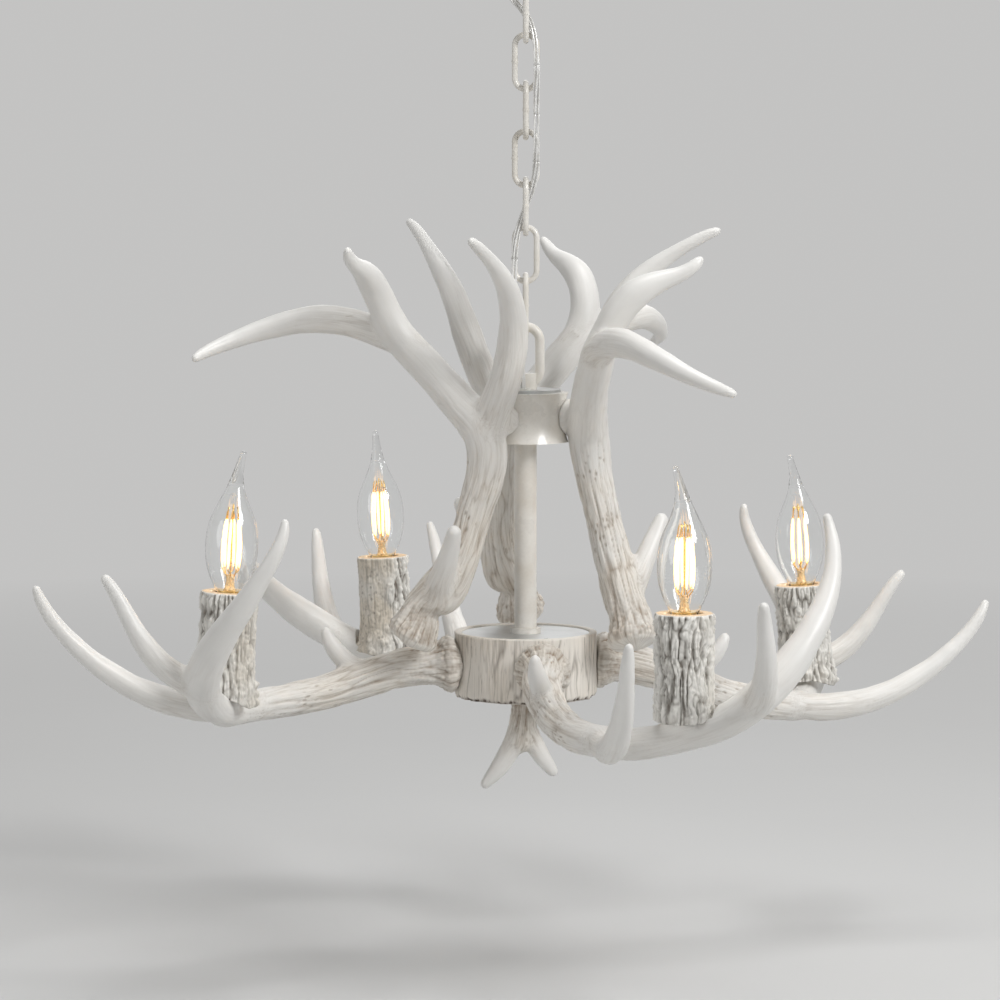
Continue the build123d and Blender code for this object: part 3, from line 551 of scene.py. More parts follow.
def branch_relief(points, branch, number, rough_until, has_tip, seed):
    """One branch's relief, wash, roughness and unrolled places, and how near its surface is."""
    reach, around, outside, length, thick = along_branch(points, branch)
    unrolled = np.column_stack([around * GRAIN_R, reach])
    rough = BEAM_ROUGH if number != SHORT_TINE else SHORT_ROUGH
    rough = rough * (1 - ramp(reach, 0, length * (0.8 if number else 1.0)))
    if number == 0:
        rough = np.maximum(1 - ramp(reach, rough_until * 0.35, rough_until), rough)
    wavy = unrolled + 1.4 * noise(unrolled / 16, seed + 1)[:, None] * LEVEL
    deep = creases(wavy / np.array(GROOVE), seed + 2, 0.38)
    fine = creases(wavy / np.array(SCRATCH), seed + 3, 0.5)
    hills = 0.5 * noise(unrolled / 17, seed + 4) + 0.2 * noise(unrolled / 8, seed + 5)
    tip = TIP_SWELL * ramp(reach, length - 40, length - 4) * has_tip
    relief = tip + ramp(thick, 1, 11) * hills + rough * (0.35 - 0.95 * deep**0.8 - 0.5 * fine)
    wash = rough * (0.62 * deep**3 + 0.2 * fine**3)
    return np.column_stack([relief, wash, rough, unrolled]), np.exp(-np.clip(outside, 0, 20) / 1.1)


def antler_relief(points, branches, rough_until, burr_at, seed):
    """Relief in mm and three numbers for the material at points in a cast's own frame.

    Each branch gives grooves, which are creases of noise stretched along it, and soft hills. The
    branches are mixed by how near their surfaces are, so the relief flows through a fork."""
    total, weights = np.zeros((len(points), 6)), np.zeros(len(points))
    for number, branch in enumerate(branches):
        has_tip = number > 0 or len(branches) > SHORT_TINE  # the finial's trunk has none
        values, share = branch_relief(points, branch, number, rough_until, has_tip, seed)
        total += share[:, None] * values
        weights += share
    relief, wash, rough = (total[:, k] / weights for k in range(3))
    grain = total[:, 3:] / weights[:, None]
    pits = ramp(noise(points / PIT_PATCH, seed + 6), 0.0, 0.5) * ramp(rough, 0.1, 0.5)
    pits = pits * ramp(pearls(grain / np.array(PIT), seed + 7), 0.7, 0.86)
    relief -= PIT_DEPTH * pits
    wash = np.maximum(wash, 0.7 * pits)
    reach, _, outside, _, _ = along_branch(points, branches[0])
    crown = (1 - ramp(np.abs(reach - burr_at), burr_at * 0.6, burr_at * 1.7)) * ramp(-outside, -9, -2)
    near_crown = (1 - ramp(reach - burr_at, 6, 44)) * ramp(reach - burr_at, -3, 2)
    bead = pearls(points / BEAD, seed + 8)
    small = pearls(points / SMALL_BEAD, seed + 9)
    relief += crown * (2.1 * bead**0.8 - 0.9) + near_crown * (1.1 * small - 0.5)
    wash = wash + crown * 0.5 * (1 - bead) ** 2 + near_crown * 0.35 * (1 - small) ** 2
    off_cut = ramp(reach, 0.4, 2.2)  # the burr's end was sawn flat
    wash = np.clip(wash, 0, 1) * off_cut
    return relief * off_cut, wash, np.maximum(rough, crown), grain

# %% [markdown]
# ## Keep clear of what the antlers touch
# Each antler is cut to fit the hub or the spool, and each lower one has a seat for its candle.
# The relief fades out there, so the resin skin neither cuts into the metal nor lifts the candle.

# %% Candle places
SEAT_LEVEL = 8.5  # mm over the beam's centre
SEAT_POCKET_R, SEAT_POCKET_LOW, SEAT_POCKET_HIGH = 23.5, -2.5, 20.0
# Sideways along the beam, rise of the seat, lean towards +X in degrees.
CANDLE_SET = {
    "a": (56.0, 3.5, 0.0), "b": (42.0, 5.0, 3.0), "c": (63.0, -2.0, -2.5), "d": (62.0, 3.0, -3.0),
}


def candle_frame(name):
    """Origin on the seat in metres, and the directions along the beam, across it and up."""
    sideways, rise, lean = CANDLE_SET[name]
    rows = np.array(LOWER_BRANCHES[0], float)
    after = int(np.argmax(rows[:, 1] > sideways))
    low, high = rows[after - 1, :3], rows[after, :3]
    here = low + (high - low) * (sideways - low[1]) / (high[1] - low[1])
    low, here, high = from_cast(np.stack([low, here, high]), f"lower_antler_{name}", LOWER_GRIP)
    up = np.array([math.sin(math.radians(lean)), 0, math.cos(math.radians(lean))])
    along = high - low
    along = unit(along - up * (along @ up))
    origin = here + up * (SEAT_LEVEL + rise) * MM
    return origin, np.stack([along, np.cross(up, along), up])


candles = {name: candle_frame(name) for name in CANDLE_SET}
print("seats", {name: np.round(place[0], 4).tolist() for name, place in candles.items()})

# %% Antler pieces
HUB_FIT_R = 49.65
SPOOL_FIT_R = 29.65
SPOOL_LOW, SPOOL_HIGH = 101.0, 205.0  # heights over the rim where the upper casts are cut round
LEAST_WASH = 0.3  # of the wash stays where the skin can't move
# The branches, the point that the cast is turned about, the length of the rough part of the beam,
# the burr's place on it in mm, and the seed.
CASTS = {
    "lower": (LOWER_BRANCHES, LOWER_GRIP, 210, 8, 20),
    "upper": (UPPER_BRANCHES, UPPER_GRIP, 190, 4, 50),
    "finial": (FINIAL_BRANCHES, NO_GRIP, 95, 5, 80),
}


def freedom(points, name):
    """1 where the skin may move, 0 on the faces that fit the hub, the spool or a candle."""
    hung = (points - RIM_PLACE) / MM
    from_axis = np.hypot(hung[:, 0], hung[:, 1])
    if name.startswith("upper"):
        free = ramp(from_axis - SPOOL_FIT_R, 0.4, 3.5)
        return np.where((hung[:, 2] > SPOOL_LOW) & (hung[:, 2] < SPOOL_HIGH), free, 1)
    if name == "finial":
        return ramp(-hung[:, 2], 45.5, 48)
    free = ramp(from_axis - HUB_FIT_R, 0.4, 3.0)
    origin, axes = candles[name[-1]]
    seat = (points - origin) / MM @ axes.T
    in_pocket = np.hypot(seat[:, 0], seat[:, 1]) < SEAT_POCKET_R
    in_pocket &= (seat[:, 2] > SEAT_POCKET_LOW) & (seat[:, 2] < SEAT_POCKET_HIGH)
    return np.where(in_pocket, 0, free)


def make_antler(name):
    branches, grip, rough_until, burr_at, seed = CASTS[name.split("_")[0]]
    paths = [smooth_branch(rows) for rows in branches]
    points, faces = even_skin(name, name, SKIN_STEP)
    points = fill_creases(points, faces, FILLET_ROUNDS, freedom(points, name))
    in_cast = to_cast(points, name, grip)
    relief, wash, rough, grain = antler_relief(in_cast, paths, rough_until, burr_at, seed)
    free = freedom(points, name)
    points = points + skin_normals(points, faces) * (relief * free * MM)[:, None]
    piece = make_piece(f"{name}_resin", points, faces)
    store(piece, wash=wash * np.maximum(free, LEAST_WASH), warm=rough, grain=grain * MM)
    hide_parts(name)
    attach(piece, "light_body")
    print(name, len(points), "vertices, relief", relief.min().round(2), relief.max().round(2), "mm")
    return piece


antlers = [make_antler(name) for name in ANTLER_SET]

# %% [markdown]
# ## The lower hub
# It is a cast slice of a log: fine grooves run down its side, and its lower edge looks broken.
# A profile carried round a full turn gives the cup. Its side is pushed in along creases of noise
# that is stretched upwards, and its lower edge rises and falls with another noise.

# %% Lower hub
HUB_R = 49.5
HUB_HEIGHT = 45.0
HUB_COLUMNS = 540
HUB_ROWS = 60
COVER_FOOT = (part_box("hub_cover")[0].z - RIM) / MM
# The hub's profile below, over and inside the side that gets the grain, as radius and height.
HUB_RIM = [(49.3, -0.7), (48.8, -0.2), (48.0, 0), (46.5, 0.0), (45.2, -0.1), (44.3, -0.6), (44.2, -1.3)]
HUB_INSIDE = [
    (44.2, COVER_FOOT), (42.1, COVER_FOOT), (42.0, -12), (42, -36.9), (20, -37), (5.0, -37), (5.0, -41),
]
HUB_UNDER = [(10.2, -41)] + [(radius, -HUB_HEIGHT) for radius in (10.2, 18, 34, 45, 48.6)]
HUB_CRACK = (5.2, 5.2, 60.0)  # mm: the cracks' spacing round the side and along it
HUB_GRAIN = (2.4, 2.4, 34.0)
CRACK_DEPTH, GRAIN_DEPTH, WAVE_DEPTH = 0.42, 0.22, 0.5
EDGE_CHIP, NOTCH = 4.2, 2.1  # mm between the lower edge's chips, and between its notches

hub_side = [(HUB_R, z) for z in np.linspace(-HUB_HEIGHT, -1.4, HUB_ROWS)]
hub_profile = np.array(hub_side + HUB_RIM + HUB_INSIDE + HUB_UNDER)
hub_points = loops_at(ring_of(HUB_COLUMNS), hub_profile[:, :1], hub_profile[:, 1:])
hub_outside = np.hypot(hub_points[:, 0], hub_points[:, 1]) > 48.4
on_side = hub_outside * ramp(-hub_points[:, 2], 0.3, 1.6)
hub_wavy = hub_points + 0.9 * noise(hub_points / 11, 90)[:, None] * LEVEL
grain_deep = creases(hub_wavy / np.array(HUB_CRACK), 91, 0.1)
grain_fine = creases(hub_wavy / np.array(HUB_GRAIN), 92, 0.2)
chips = 0.5 + 0.5 * noise(hub_points * LEVEL / EDGE_CHIP, 93)
notches = ramp(noise(hub_points * LEVEL / NOTCH, 96), 0.15, 0.5)
edge_band = on_side * (1 - ramp(hub_points[:, 2] + HUB_HEIGHT, 0.8, 1.6 + 3.2 * chips))
waves = 0.5 + 0.5 * noise(hub_points / 18, 94)
push = on_side * (CRACK_DEPTH * grain_deep + GRAIN_DEPTH * grain_fine + WAVE_DEPTH * waves)
push = push + edge_band * (0.5 + 1.1 * chips + 1.6 * notches)
hub_points = hub_points - unit(hub_points * LEVEL) * push[:, None]
hub_points[:, 2] += 1.3 * chips * (hub_points[:, 2] < -HUB_HEIGHT + 1.2) * hub_outside
hub_faces = grid_faces(len(hub_profile), HUB_COLUMNS, close_rows=True)
hub = make_piece("lower_hub_wood", hub_points * MM + RIM_PLACE, hub_faces)
hub_wash = on_side * (0.5 * grain_deep + 0.3 * grain_fine**2) + edge_band * (0.4 + notches)
hub_warm = 0.35 + 0.3 * noise(hub_points / 26, 95)
store(hub, wash=np.clip(hub_wash, 0, 1), warm=np.clip(hub_warm, 0, 1), grain=hub_points * MM)
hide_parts("lower_hub")
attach(hub, "light_body")
print("hub", len(hub_points), "vertices")

# %% [markdown]
# ## Bark sleeves
# Bark splits into upright plates with dark fissures between them, and on one side it may be worn
# nearly smooth and creamier tan; on sleeve c that tan side is also painted shade, on the side away
# from the key light. One closed grid goes up the outside, over the top, down the bore and back along
# the foot. The foot hangs lower beside the beam than over it, so the tube sits astride. The four
# tubes differ in seed and in where the bark is worn and tan.

# %% Bark sleeves
SLEEVE_R = 19.0
SLEEVE_ABOVE = 66.0
SLEEVE_HOLE_R = 12.0
BORE = np.array([(SLEEVE_HOLE_R, 63.0), (13.9, 62.9), (13.9, 30.0), (13.9, 0.3)])  # radius, height
SLEEVE_FOOT_R = 15.5
SLEEVE_COLUMNS = 300
SLEEVE_ROWS = 118
TOP_SHARES = (0.12, 0.35, 0.6, 0.8, 0.93, 1.0)  # the top face's loops, from its edge to the hole
FISSURE = (3.3, 3.3, 21.0)  # mm: the spacing of the dark fissures round the tube and along it
CRACK = (1.7, 1.7, 6.0)
LUMP = (1.5, 1.5, 2.0)
GRIT, KNOB, PORE = 1.3, 7.0, 4.0
# Seed, the direction of the smoother, creamier-tan side in degrees (0 is +X), how much it is worn
# and tinted, the flare, and how far the foot hangs down beside the beam. That side is worn bark; on
# sleeve c, turned away from the key light, its tan is also painted shade.
BARK = {
    "a": (3, 20, 0.15, 0.2, 2.2), "b": (14, -10, 0.4, 1.4, 9.0), "c": (25, 215, 0.9, 2.8, 4.5),
    "d": (37, 250, 0.1, 2.6, 6.0),
}


def bark_relief(flat, world, smooth_tan_side, smooth_tan_most, flare, seed):
    """Relief in mm, wash and wear of the outside, from its smooth points."""
    facing = np.degrees(np.arctan2(world[:, 1], world[:, 0]))
    turn = np.abs((facing - smooth_tan_side + 180) % 360 - 180)
    # The worn side: smoother bark, and creamier tan through the stored warmth; on sleeve c that tan is painted
    # shade.
    worn = smooth_tan_most * (1 - ramp(turn + 14 * noise(flat / 12, seed + 1), 45, 80))
    wavy = flat + 2.0 * noise(flat / np.array([8, 8, 13]), seed + 2)[:, None] * LEVEL
    plates = creases(wavy / np.array(FISSURE), seed + 3, 0.36)
    cracks = creases(wavy / np.array(CRACK), seed + 4, 0.45)
    lumps = noise(flat / np.array(LUMP), seed + 5)
    strength = 1 - 0.85 * worn
    relief = strength * (1.2 - 2.0 * plates**0.7 - 1.0 * cracks + 0.75 * lumps)
    relief += 0.25 * noise(flat / GRIT, seed + 6)
    knobs = (1 - ramp(flat[:, 2], 2, 16)) * pearls(world / KNOB, seed + 7) * (flare > 1)
    relief += 3.2 * ramp(knobs, 0.35, 0.9)
    wash = np.clip(strength * (0.85 * plates**1.6 + 0.42 * cracks**1.8) - 0.1 * lumps, 0, 1)
    wash = np.maximum(wash, 0.55 * worn * ramp(pearls(flat / PORE, seed + 8), 0.66, 0.8))
    return relief, wash, worn


def bark_sleeve(name):
    seed, smooth_tan_side, smooth_tan_most, flare, hang = BARK[name]
    origin, axes = candles[name]
    ring = ring_of(SLEEVE_COLUMNS)
    share = np.linspace(0, 1, SLEEVE_ROWS)[:, None]
    foot = -(2.0 + hang * np.abs(ring[:, 1]) ** 2)[None]
    foot = foot + 0.9 * noise(ring * 2.2, seed)[None]
    height = foot + (SLEEVE_ABOVE - 1.0 - foot) * share
    radius = SLEEVE_R - 0.6 + flare * (1 - ramp(height, -6, 22)) + 0.4 * ramp(height, 50, 66)
    flat = loops_at(ring, radius, height)
    relief, wash, worn = bark_relief(flat, flat @ axes, smooth_tan_side, smooth_tan_most, flare, seed)
    relief = relief * (1 - 0.55 * np.repeat(ramp(share, 0.97, 1.0), SLEEVE_COLUMNS))
    outer = flat + np.tile(ring, (SLEEVE_ROWS, 1)) * relief[:, None]
    edge_r = np.hypot(outer[-SLEEVE_COLUMNS:, 0], outer[-SLEEVE_COLUMNS:, 1])
    inward = np.array(TOP_SHARES)[:, None]
    top_height = SLEEVE_ABOVE - 0.35 * (1 - inward) - 0.5 * (inward > 0.99)
    top = loops_at(ring, edge_r + (SLEEVE_HOLE_R - edge_r) * inward, top_height)
    bore = loops_at(ring, BORE[:, :1], BORE[:, 1:])
    loops = np.concatenate([outer, top, bore, loops_at(ring, SLEEVE_FOOT_R, 0.4 * foot)])
    extra = len(loops) - len(outer)
    faces = grid_faces(len(loops) // SLEEVE_COLUMNS, SLEEVE_COLUMNS, close_rows=True)
    face_row = np.arange(len(faces)) // SLEEVE_COLUMNS
    # The top faces get the second material: a tan cut end, made orange partly by the lamp's warm glow painted on.
    on_top = (face_row >= SLEEVE_ROWS) & (face_row < SLEEVE_ROWS + len(TOP_SHARES))
    piece = make_piece(f"bark_sleeve_{name}_cast", loops @ axes * MM + origin, faces, on_top)
    wash = np.concatenate([wash, np.zeros(extra)])
    # Warmth follows the worn side's tan, which on sleeve c is painted shade on the side away from the key light.
    warm = np.concatenate([np.clip(worn + 0.15, 0, 1), np.full(extra, 0.4)])
    store(piece, wash=wash, warm=warm, grain=loops * MM)
    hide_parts(f"bark_sleeve_{name}")
    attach(piece, "light_body")
    return piece


sleeves = [bark_sleeve(name) for name in BARK]
print("bark sleeves", len(sleeves), "of", len(sleeves[0].data.vertices), "vertices")

# %% [markdown]
# ## Filaments
# Thin glowing sticks stand between two crowns of gold wires, on a glass stem. Each stick and wire
# is a tube along a short path, and a piece holds them all, with one material for each kind.

# %% Filament pieces
HOLDER_TOP = 62.0
GLASS_FOOT = HOLDER_TOP + 2.4
STICK_COUNT = 6
STICK_R = 1.0
STICK_POINTS, STICK_SIDES = 9, 12
STICK_LOW, STICK_HIGH = 17.0, 50.0  # heights over the glass's foot
STICK_TURN = 0.12  # of the step from one stick to the next
# Two wires for each stick, starting 0.8 mm inside it: first and last height, distances from the
# lamp's axis, turns as shares of the step between sticks, and radius.
WIRES = [
    (STICK_LOW + 0.8, 11.5, (5.6, 5.4, 3.8, 2.6), (0, 0, 0.25, 0.5), 0.36),
    (STICK_HIGH - 0.8, 57.5, (4.6, 4.4, 4.0, 3.4), (STICK_TURN, STICK_TURN, 0.2, 0.45), 0.42),
]
WIRE_SIDES = 7
CROWN_LOW_R, CROWN_MID_R, CROWN_HIGH_R = 5.6, 6.2, 4.6
SPINE_FOOT, SPINE_TOP, SPINE_R = 2.4, 59.5, 0.5
STEM_PROFILE = [(2.3, 4.4), (4, 3.4), (9, 2.5), (11.8, 3.2), (13.0, 1.8)]  # height and radius


def stick_path(k, lows, highs, radii, turns):
    """A path of points on a slender cone: angle, radius and height change together."""
    angle = 2 * np.pi * (k + np.asarray(turns)) / STICK_COUNT
    height = np.linspace(lows, highs, len(radii))
    return np.stack([np.asarray(radii) * np.cos(angle), np.asarray(radii) * np.sin(angle), height], 1)


def make_filament(name):
    origin, axes = candles[name]
    glow, wires = [], []
    share = np.linspace(0, 1, STICK_POINTS)
    radii = np.interp(share, [0, 0.45, 1], [CROWN_LOW_R, CROWN_MID_R, CROWN_HIGH_R])
    thick = STICK_R * np.sqrt(np.clip(1 - (2 * share - 1) ** 8, 0.08, 1))
    for k in range(STICK_COUNT):
        stick = stick_path(k, STICK_LOW, STICK_HIGH, radii, STICK_TURN * share)
        glow.append(tube(stick, thick, STICK_SIDES))
        for low, high, wire_radii, turns, wire_r in WIRES:
            wires.append(tube(stick_path(k, low, high, wire_radii, turns), wire_r, WIRE_SIDES))
    spine = UP * np.linspace(SPINE_FOOT, SPINE_TOP, 12)[:, None]
    wires.append(tube(spine, SPINE_R, 8))
    stem_heights = np.linspace(STEM_PROFILE[0][0], STEM_PROFILE[-1][0], 10)
    stem = tube(UP * stem_heights[:, None], np.interp(stem_heights, *zip(*STEM_PROFILE)), 20)
    parts = glow + wires + [stem]
    points, faces = joined(parts)
    kind = [0] * len(glow) + [1] * len(wires) + [2]
    kind = np.repeat(kind, [len(part_faces) for _, part_faces in parts])
    points = (points + UP * GLASS_FOOT) @ axes * MM + origin
    piece = make_piece(f"lamp_filament_{name}_lit", points, faces, kind)
    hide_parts(f"lamp_filament_{name}")
    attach(piece, f"lamp_{name}")
    return piece


filaments = [make_filament(name) for name in CANDLE_SET]
print("filaments", len(filaments), "with", STICK_COUNT, "sticks each")

# %% [markdown]
# ## Patterns for the materials
# Two node groups are shared. The washed cast is for antler, bark and hub: the stored depth of the
# relief says where the dark wash stays, the stored warmth where the white is creamier, and a noise
# stretched along the grain draws what is too fine for the mesh. The worn finish is for paint and
# metal: two noises of different size move the colour, the gloss and the height a little.


# %% Node helpers
def pattern(name, **inputs):
    """A new node group and the sockets at its two ends. For each kind of socket, the inputs name
    those of that kind. Every pattern gives a colour, a roughness and a height."""
    tree = bpy.data.node_groups.new(name, "ShaderNodeTree")
    sockets = [(label, kind, "INPUT") for kind, labels in inputs.items() for label in labels.split()]
    results = {"Color": "Color", "Roughness": "Float", "Height": "Float"}
    sockets += [(label, kind, "OUTPUT") for label, kind in results.items()]
    for label, kind, side in sockets:
        tree.interface.new_socket(label, in_out=side, socket_type=f"NodeSocket{kind}")
    return tree, tree.nodes.new("NodeGroupInput").outputs, tree.nodes.new("NodeGroupOutput").inputs


def put(socket, value):
    """Links an output to a socket, or writes a plain value in it."""
    if isinstance(value, bpy.types.NodeSocket):
        socket.id_data.links.new(value, socket)
    elif hasattr(value, "__len__") and len(value) == 3 and socket.type == "RGBA":
        socket.default_value = (*value, 1)
    else:
        socket.default_value = value


def noise_node(tree, vector, scale, detail=3.0, squeeze=None):
    """Noise from 0 to 1 at a vector, squeezed along the axes first if asked."""
    if squeeze is not None:
        mapping = tree.nodes.new("ShaderNodeMapping")
        put(mapping.inputs["Vector"], vector)
        mapping.inputs["Scale"].default_value = squeeze
        vector = mapping.outputs["Vector"]
    node = tree.nodes.new("ShaderNodeTexNoise")
    put(node.inputs["Vector"], vector)
    put(node.inputs["Scale"], scale)
    node.inputs["Detail"].default_value = detail
    return node.outputs["Fac"]


def sum_node(tree, kind, first, second, clamp=False):
    """Two values added or multiplied, as kind says."""
    node = tree.nodes.new("ShaderNodeMath")
    node.operation = kind
    node.use_clamp = clamp
    put(node.inputs[0], first)
    put(node.inputs[1], second)
    return node.outputs[0]


def product(tree, first, second, clamp=False):
    return sum_node(tree, "MULTIPLY", first, second, clamp)


def range_node(tree, value, low, high, to_low=0.0, to_high=1.0):
    """Maps the range from low to high to another one, and keeps within it."""
    node = tree.nodes.new("ShaderNodeMapRange")
    given = {"Value": value, "From Min": low, "From Max": high, "To Min": to_low, "To Max": to_high}
    for label, number in given.items():
        put(node.inputs[label], number)
    return node.outputs["Result"]


def mix_node(tree, share, first, second, blend="MIX"):
    node = tree.nodes.new("ShaderNodeMix")
    node.data_type = "RGBA"
    node.blend_type = blend
    put(node.inputs["Factor"], share)
    put(node.inputs["A"], first)
    put(node.inputs["B"], second)
    return node.outputs["Result"]


# %% The two patterns
PATCH_SCALE, GRIT_SCALE = 38.0, 1500.0
washed, given, made = pattern(
    "washed cast", Float="Wash Warm Fine Smooth Rough", Vector="Grain Place", Color="Pale Cream Dark"
)
streaks = noise_node(washed, given["Grain"], given["Fine"], 4.0, (1, 1, 0.07))
streaks = range_node(washed, streaks, 0.36, 0.64)
patches = noise_node(washed, given["Place"], PATCH_SCALE, 4.0)
grit = noise_node(washed, given["Place"], GRIT_SCALE, 2.0)
warmth = product(washed, given["Warm"], range_node(washed, patches, 0.3, 0.7, 0.35, 1.3), True)
wash_share = product(washed, given["Wash"], range_node(washed, streaks, 0, 1, 1.15, 0.75), True)
thin_wash = product(washed, range_node(washed, streaks, 0.6, 0.0), product(washed, warmth, 0.4))
colour = mix_node(washed, warmth, given["Pale"], given["Cream"])
colour = mix_node(washed, thin_wash, colour, given["Dark"])
colour = mix_node(washed, wash_share, colour, given["Dark"])
tone = mix_node(washed, patches, (0.9, 0.9, 0.9), (1.06, 1.06, 1.06))
put(made["Color"], mix_node(washed, 1.0, colour, tone, "MULTIPLY"))
dullness = sum_node(washed, "ADD", wash_share, warmth)
put(made["Roughness"], range_node(washed, dullness, 0, 1.2, given["Smooth"], given["Rough"]))
fine_height = sum_node(washed, "ADD", streaks, product(washed, grit, 0.15))
put(made["Height"], product(washed, fine_height, given["Warm"]))

worn_finish, given, made = pattern(
    "worn finish", Float="Amount Size Smooth Rough", Vector="Place", Color="Paint Worn"
)
clouds = noise_node(worn_finish, given["Place"], given["Size"], 4.0)
specks = noise_node(worn_finish, given["Place"], product(worn_finish, given["Size"], 9.0), 3.0)
wear = product(worn_finish, range_node(worn_finish, clouds, 0.42, 0.72), given["Amount"], True)
colour = mix_node(worn_finish, wear, given["Paint"], given["Worn"])
tone = mix_node(worn_finish, specks, (0.93, 0.93, 0.93), (1.05, 1.05, 1.05))
put(made["Color"], mix_node(worn_finish, 1.0, colour, tone, "MULTIPLY"))
put(made["Roughness"], range_node(worn_finish, clouds, 0.3, 0.7, given["Smooth"], given["Rough"]))
put(made["Height"], sum_node(worn_finish, "ADD", product(worn_finish, clouds, 0.5), specks))
print("patterns", washed.name, "and", worn_finish.name)

# %% [markdown]
# ## Materials
# The shader itself stays in each material, with its own plain values. The pattern feeds only its
# colour, roughness and bump. Antler resin is matt with a soft gleam on the tines, bark is dull,
# paint is satin, and the plates are grey metal.


# %% Material helpers
def shader_of(name, **values):
    """A new material and its shader, with plain values written on the shader's own sockets."""
    material = bpy.data.materials.new(name)
    material.use_nodes = True
    shader = material.node_tree.nodes["Principled BSDF"]
    for label, value in values.items():
        put(shader.inputs[label.replace("_", " ")], value)
    return material, material.node_tree, shader


def own_place(tree):
    return tree.nodes.new("ShaderNodeTexCoord").outputs["Object"]


def use_pattern(tree, shader, group, bump, depth, values):
    """Places a pattern in a material, with its values, and feeds the shader from it."""
    node = tree.nodes.new("ShaderNodeGroup")
    node.node_tree = group
    put(node.inputs["Place"], own_place(tree))
    for label, value in values.items():
        put(node.inputs[label], value)
    put(shader.inputs["Base Color"], node.outputs["Color"])
    put(shader.inputs["Roughness"], node.outputs["Roughness"])
    bump_node = tree.nodes.new("ShaderNodeBump")
    bump_node.inputs["Strength"].default_value = bump
    bump_node.inputs["Distance"].default_value = depth
    put(bump_node.inputs["Height"], node.outputs["Height"])
    put(shader.inputs["Normal"], bump_node.outputs["Normal"])


def stored(tree, name, output="Fac"):
    node = tree.nodes.new("ShaderNodeAttribute")
    node.attribute_name = name
    return node.outputs[output]


def cast_material(name, bump, depth, *looks):
    material, tree, shader = shader_of(name, **{"Specular IOR Level": CAST_SHINE})
    values = dict(zip(("Pale", "Cream", "Dark", "Fine", "Smooth", "Rough"), looks))
    values.update(Wash=stored(tree, "wash"), Warm=stored(tree, "warm"))
    values["Grain"] = stored(tree, "grain", "Vector")
    use_pattern(tree, shader, washed, bump, depth, values)
    return material


def finish_material(name, bump, depth, metallic, coat, *looks):
    material, tree, shader = shader_of(name, Metallic=metallic, Coat_Weight=coat)
    values = dict(zip(("Paint", "Worn", "Amount", "Size", "Smooth", "Rough"), looks))
    use_pattern(tree, shader, worn_finish, bump, depth, values)
    return material

# %% The materials
CAST_SHINE = 0.45
# For each slot: strength and depth of the bump, the pale, creamy and dark colours, the scale of
# the streaks, and the roughness where the wash is absent and where it is thick.
WASHED = {
    "antler_resin": (
        0.35, 0.0005, (0.78, 0.77, 0.745), (0.75, 0.715, 0.655), (0.30, 0.235, 0.175), 820, 0.36, 0.72
    ),
    "bark_resin": (0.6, 0.0007, (0.82, 0.81, 0.775), (0.66, 0.6, 0.51), (0.2, 0.18, 0.155), 520, 0.7, 0.9),
    # The sleeves' top faces: a tan cut end whose orange is partly painted lamp glow.
    "cut_end_and_painted_glow": (0.3, 0.0004, (0.68, 0.53, 0.36), (0.56, 0.40, 0.24), (0.2, 0.14, 0.09), 700, 0.6, 0.8),
    "hub_resin": (0.4, 0.0005, (0.8, 0.765, 0.71), (0.7, 0.635, 0.545), (0.1, 0.07, 0.05), 560, 0.5, 0.78),
}
# For each slot: strength and depth of the bump, metallic, clear coat, the colour and the worn
# colour, how much is worn, the scale of the wear, and the least and most roughness.
WORN = {
    "cream_paint": (0.15, 0.0002, 0.0, 0.25, (0.8, 0.775, 0.725), (0.64, 0.59, 0.51), 0.55, 55, 0.24, 0.42),
    "plate_metal": (0.08, 0.0001, 0.85, 0.0, (0.56, 0.57, 0.57), (0.44, 0.44, 0.43), 0.5, 40, 0.26, 0.42),
    "zinc_steel": (0.2, 0.0002, 1.0, 0.0, (0.60, 0.61, 0.62), (0.45, 0.46, 0.47), 0.7, 120, 0.3, 0.5),
    "bushing_plastic": (0.1, 0.0001, 0.0, 0.0, (0.78, 0.77, 0.72), (0.68, 0.66, 0.60), 0.4, 90, 0.3, 0.42),
    "holder_plastic": (0.1, 0.0001, 0.0, 0.0, (0.74, 0.70, 0.62), (0.62, 0.56, 0.47), 0.4, 70, 0.32, 0.46),
    "cap_brass": (0.1, 0.0001, 1.0, 0.0, (0.78, 0.58, 0.26), (0.58, 0.42, 0.20), 0.6, 110, 0.2, 0.38),
    "gold_wire": (0.1, 0.0001, 1.0, 0.0, (0.85, 0.56, 0.18), (0.70, 0.42, 0.12), 0.5, 300, 0.18, 0.32),
    "cable_pvc": (0.1, 0.0001, 0.3, 1.0, (0.82, 0.815, 0.80), (0.62, 0.61, 0.58), 0.8, 160, 0.22, 0.4),
}
finishes = {slot: cast_material(slot, *looks) for slot, looks in WASHED.items()}
finishes.update({slot: finish_material(slot, *looks) for slot, looks in WORN.items()})
print("finishes", len(finishes))

# %% [markdown]
# Glass and light need their own set-up. The lamp's glass lets the lamps' light through for
# shadows, because a path tracer can hardly find a small light behind real glass. The sticks give
# warm light, and the glass stem under them is pale and a little cloudy.

# %% Glass, glow and stem
lamp_glass, tree, shader = shader_of(
    "lamp glass", Base_Color=(0.985, 0.99, 0.99), Roughness=0.0, IOR=1.45, Transmission_Weight=1.0
)
let_through = tree.nodes.new("ShaderNodeBsdfTransparent")
both = tree.nodes.new("ShaderNodeMixShader")
put(both.inputs[0], tree.nodes.new("ShaderNodeLightPath").outputs["Is Shadow Ray"])
put(both.inputs[1], shader.outputs["BSDF"])
put(both.inputs[2], let_through.outputs["BSDF"])
put(tree.nodes["Material Output"].inputs["Surface"], both.outputs["Shader"])

